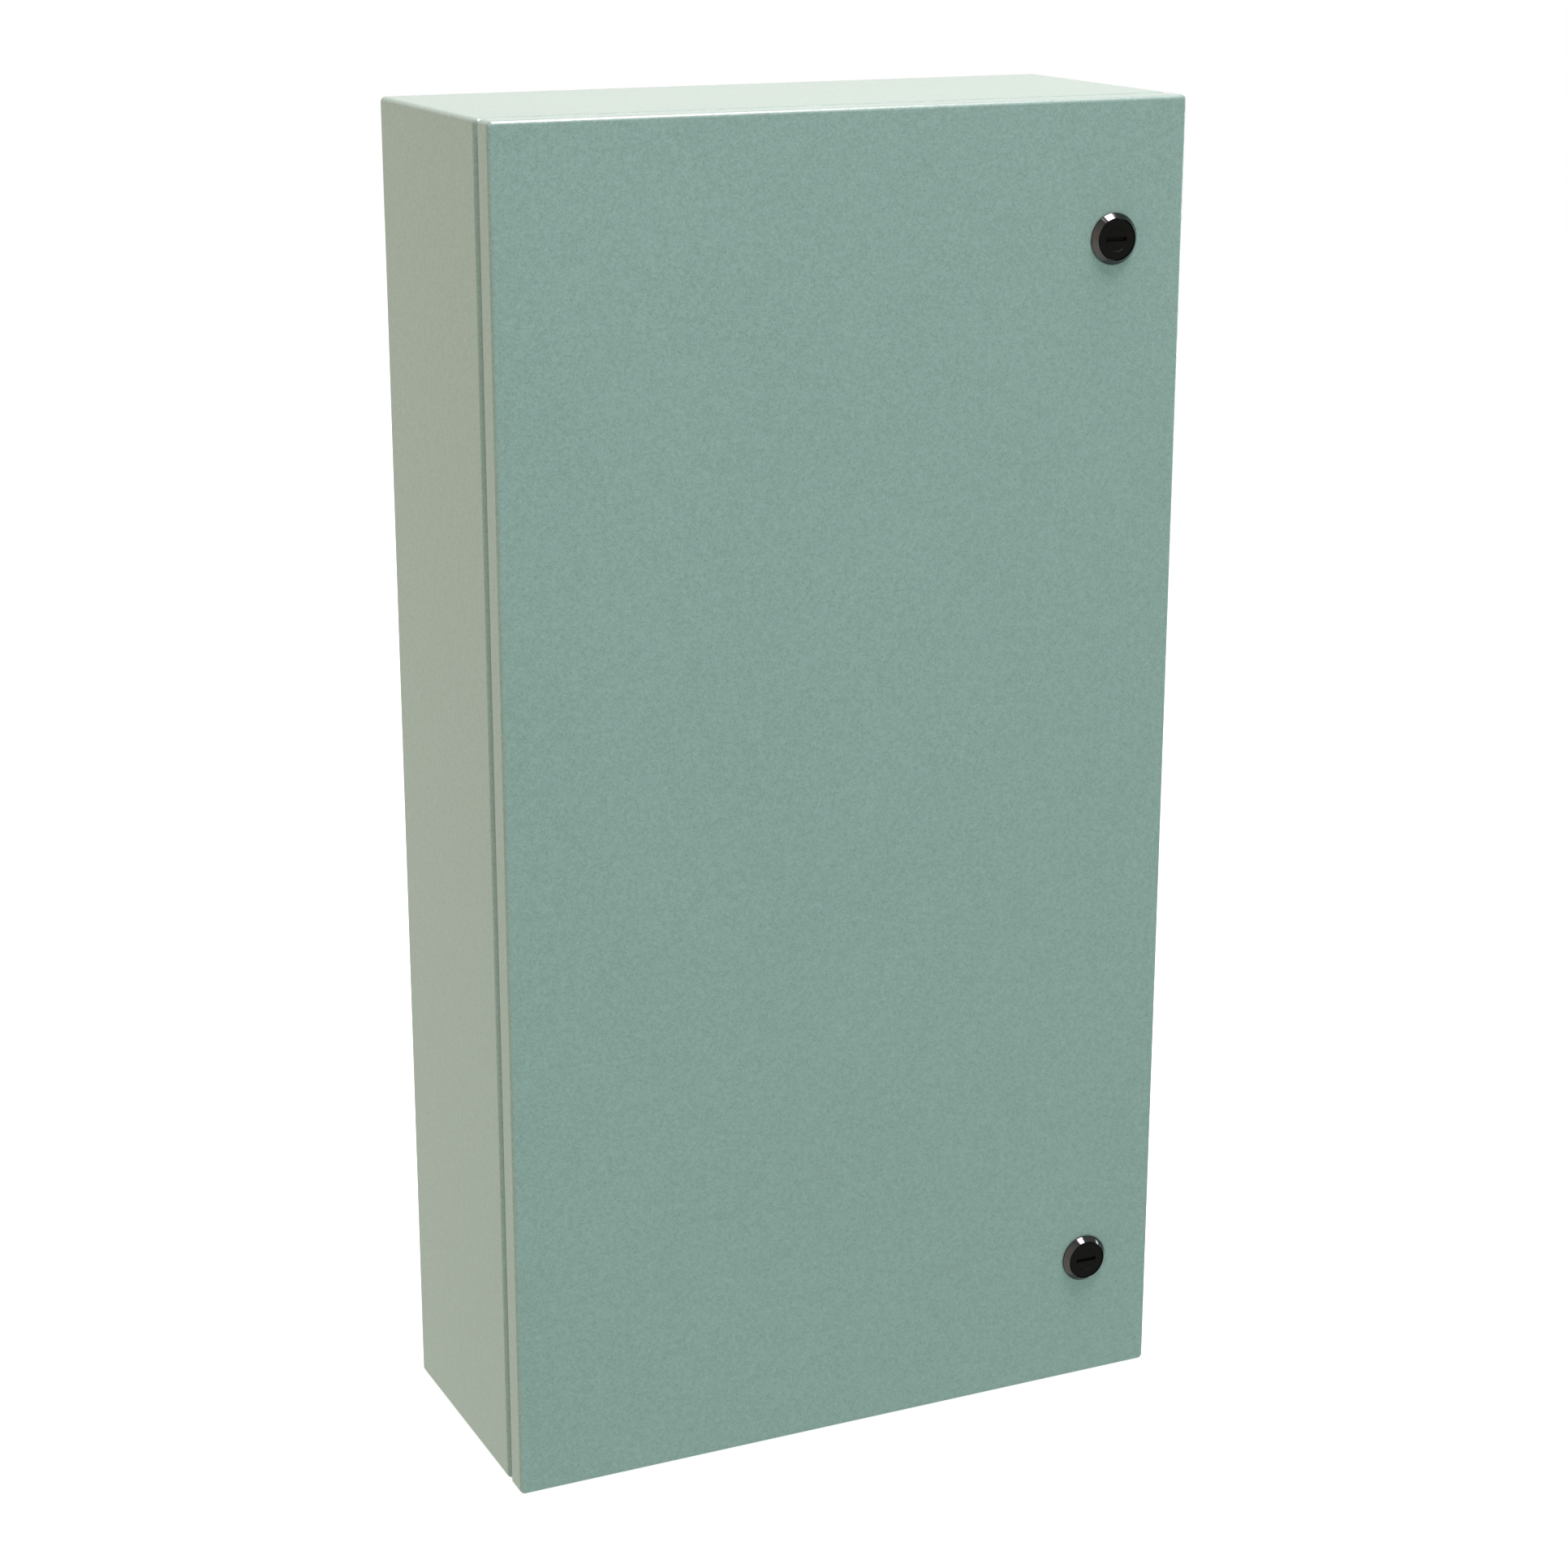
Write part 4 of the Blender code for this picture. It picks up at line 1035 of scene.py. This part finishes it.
def build_insert(side):
    face = TOUCH - CONE_HEIGHT
    shoulder = -DISC_SEAT - TOUCH
    rotor_end = barrel_end - BARREL_WALL - TOUCH
    square_end = cam_back - TOUCH
    rings = [
        at(circle(RECESS_RADIUS - RECESS, FINE), face + RECESS),
        at(circle(RECESS_RADIUS, FINE), face),
        at(circle(DISC_RADIUS - DISC_ROUND, FINE), face),
    ]
    for k in range(1, DISC_STEPS + 1):
        angle = math.pi / 2 * k / DISC_STEPS
        radius = DISC_RADIUS - DISC_ROUND * (1 - math.sin(angle))
        rings.append(at(circle(radius, FINE), face + DISC_ROUND * (1 - math.cos(angle))))
    rings += [
        at(circle(DISC_RADIUS, FINE), shoulder),
        at(circle(ROTOR_RADIUS, FINE), shoulder),
        at(circle(ROTOR_RADIUS, FINE), rotor_end),
        at(circle(SPINDLE_RADIUS, FINE), rotor_end),
        at(circle(SPINDLE_RADIUS, FINE), cam_front - TOUCH),
        at(polygon(SQUARE, 4, count=FINE), cam_front - TOUCH),
        at(polygon(SQUARE, 4, count=FINE), square_end),
    ]
    insert = loft(f"{side}_slotted_disc", rings)
    slot = rounded_rectangle(SLOT_LENGTH, SLOT_WIDTH, SLOT_WIDTH / 4)
    hole = circle(CAM_SCREW_RADIUS + TOUCH, THREAD_POINTS)
    hole_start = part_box(f"{side}_latch_cam_screw")[0].y - door_front - TOUCH
    prisms = [
        (at(slot, face - SHEET), at(slot, face + SLOT_DEPTH)),
        (at(hole, hole_start), at(hole, square_end + SHEET)),
    ]
    return soften(cut(insert, prisms))


def build_washer(side):
    outline = rounded_rectangle(WASHER_RADIUS - CAM_SCREW_RADIUS - TOUCH, WASHER, 0.2 * MM, steps=3)
    middle_radius = (WASHER_RADIUS + CAM_SCREW_RADIUS + TOUCH) / 2
    middle_y = washer_back - WASHER / 2
    rings = [at(circle(middle_radius + r), middle_y + y) for r, y in outline]
    return soften(loft(f"{side}_washer", rings, closed=True))


def build_cam_screw(side):
    low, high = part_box(f"{side}_latch_cam_screw")
    start, end = washer_back + TOUCH, high.y - door_front
    rings = [
        at(circle(CAM_SCREW_FLATS * 0.28, THREAD_POINTS), end - 0.4 * MM),
        at(circle(CAM_SCREW_FLATS * 0.34, THREAD_POINTS), end),
        *hexagon_head(CAM_SCREW_FLATS, start + 0.4 * MM, end, THREAD_POINTS)[::-1],
        at(circle(CAM_SCREW_FLATS * 0.49, THREAD_POINTS), start),
        *thread(CAM_SCREW_RADIUS, SCREW_PITCH, start, low.y - door_front),
    ]
    return soften(loft(f"{side}_cam_bolt", rings))


for side, place in latch_places.items():
    stand_for(put(build_insert(side), place), f"{side}_latch_insert")
    stand_for(put(build_washer(side), place), f"{side}_latch_cam_washer")
    stand_for(put(build_cam_screw(side), place), f"{side}_latch_cam_screw")
print("2 slotted discs, washers and screws that turn")

# %% [markdown]
# ## Floor and background
# The studio is plain: a pale floor, and white all round as far as the eye goes. The floor shines by
# itself, as a lit table does, which leaves the cabinet's shadow on it too faint to see. It doesn't
# light the cabinet, because the light from below is easier to balance as part of the dome, and it lets
# that light through.

# %% Floor
FLOOR_RADIUS = 6.0
FLOOR_GREY = ((0.30, 0.30, 0.30), (0.32, 0.32, 0.32))
FLOOR_CLOUD = 0.5
FLOOR_GLOW = 0.85
WHITE = (1.0, 1.0, 1.0, 1.0)
bm = bmesh.new()
bm.faces.new([bm.verts.new((x, y, cad_box[0].z - TOUCH)) for x, y in circle(FLOOR_RADIUS)])
floor = object_of("floor", bm)


def floor_paint(nodes):
    return {"Base Color": nodes.mix(nodes.noise(FLOOR_CLOUD), *FLOOR_GREY)}


shine = {"Roughness": 0.9, "Emission Color": WHITE, "Emission Strength": FLOOR_GLOW}
finish("floor", shine, floor_paint)
floor.data.materials.append(finishes["floor"])
floor.visible_diffuse = False
floor.visible_glossy = False
floor.visible_shadow = False
floor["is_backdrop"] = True
print(f"floor {2 * FLOOR_RADIUS:.0f} m across at the cabinet's foot")

# %% [markdown]
# ## Light
# A dim dome with four wide glows lights everything: cool in front, warm on the left, and one behind and
# one below that stand for pale surroundings. The glows tell the three visible faces apart by colour as
# well as by brightness. What the camera sees behind the cabinet is plain white instead, so the world
# has two parts. One large panel above makes the top nearly white and puts the bright mark on each
# latch, with a narrow strip on either side of it. A fourth panel, low on the right, puts the second
# mark on the lower latch.

# %% Dome
DOME = (0.08, 0.169, 0.095)
GLOWS = {
    (0, -1, 0): (0.786, 0.863, 0.871),
    (-1, 0, 0): (0.93, 0.61, 0.455),
    (0.3, 0.85, 0.4): (1.06, 0.91, 0.885),
    (0, 0, -1): (0.752, 0.839, 0.837),
}
BLACK = (0.0, 0.0, 0.0)
DOT = {"operation": "DOT_PRODUCT"}
world = bpy.data.worlds.new("studio")
world.use_nodes = True
bpy.context.scene.world = world
sky = Nodes(world.node_tree)
direction = sky.node("ShaderNodeTexCoord", output="Generated")
dome = sky.node("ShaderNodeCombineXYZ", {}, dict(zip("XYZ", DOME)))
for axis, colour in GLOWS.items():
    facing = sky.node("ShaderNodeVectorMath", DOT, {0: direction, 1: axis}, output="Value")
    glow = sky.mix(sky.clamp(facing, 0.0, 1.0), BLACK, colour)
    dome = sky.node("ShaderNodeVectorMath", {"operation": "ADD"}, {0: dome, 1: glow})
lit = sky.node("ShaderNodeBackground", {}, {"Color": dome, "Strength": 1.0})
seen = sky.node("ShaderNodeBackground", {}, {"Color": WHITE, "Strength": 1.0})
is_seen = sky.node("ShaderNodeLightPath", output="Is Camera Ray")
both = sky.node("ShaderNodeMixShader", {}, {0: is_seen, 1: lit, 2: seen})
world.node_tree.links.new(both.socket, world.node_tree.nodes["World Output"].inputs["Surface"])
print(f"a dome with {len(GLOWS)} glows")

# %% Panels of light
ABOVE = 3.0  # height of the panels that shine down
PANELS = {  # place, width and depth in metres, power in watts, colour, turn about the Y axis in degrees
    "overhead": ((0.515, -0.65, ABOVE), (1.25, 2.20), 248.0, (1.0, 0.784, 0.815), 0),
    "strip_right": ((1.33, -0.45, ABOVE), (0.11, 0.80), 1.8, (1.0, 0.95, 0.86), 0),
    "strip_left": ((-0.58, -0.50, ABOVE), (0.12, 0.80), 2.2, (1.0, 0.94, 0.84), 0),
    "side_strip": ((3.05, 0.155, 0.325), (1.50, 0.35), 32.0, (0.92, 0.94, 1.0), 90),
}


def light_panel(name, place, size, power, colour, turn):
    """A soft panel, unseen by the camera, that shines straight down until it is turned."""
    light = bpy.data.lights.new(name, "AREA")
    light.shape = "RECTANGLE"
    light.size, light.size_y = size
    light.energy = power
    light.color = colour
    panel = bpy.data.objects.new(name, light)
    bpy.context.scene.collection.objects.link(panel)
    panel.location = place
    panel.rotation_euler = (0.0, math.radians(turn), 0.0)
    panel.visible_camera = False


for name, settings in PANELS.items():
    light_panel(name, *settings)
print(f"{len(PANELS)} light panels")

# %% [markdown]
# ## Camera
# The camera stands in front, to the left and above, with a short telephoto lens. Its place came from
# the cabinet's own proportions: only one place and one lens make a box of this size converge this way.

# %% Camera
CAMERA_PLACE = Vector((-0.7571, -1.7123, 0.5220))
AZIMUTH = math.radians(-24.953)
ELEVATION = math.radians(16.538)
ROLL = math.radians(0.046)
LENS = 74.11
SENSOR = 36.0
camera_data = bpy.data.cameras.new("camera")
camera_data.lens = LENS
camera_data.sensor_width = SENSOR
camera = bpy.data.objects.new("camera", camera_data)
bpy.context.scene.collection.objects.link(camera)
level = math.cos(ELEVATION)
backward = Vector((math.sin(AZIMUTH) * level, -math.cos(AZIMUTH) * level, math.sin(ELEVATION)))
camera.location = CAMERA_PLACE
camera.rotation_mode = "QUATERNION"
roll = Matrix.Rotation(ROLL, 3, "Z").to_quaternion()
camera.rotation_quaternion = backward.to_track_quat("Z", "Y") @ roll
bpy.context.scene.camera = camera
bpy.context.scene.view_settings.view_transform = "Standard"
print(f"camera {CAMERA_PLACE.length:.2f} m from the back wall's middle")

# %% [markdown]
# ## Check and finish
# The looks must not make the cabinet bigger than the imported model, so both boxes are measured and
# their largest difference is printed.

# %% Compare the sizes
shown_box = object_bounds()
differences = [abs(a - b) for i in (0, 1) for a, b in zip(cad_box[i], shown_box[i])]
print(f"largest difference {max(differences) / MM:.3f} mm")
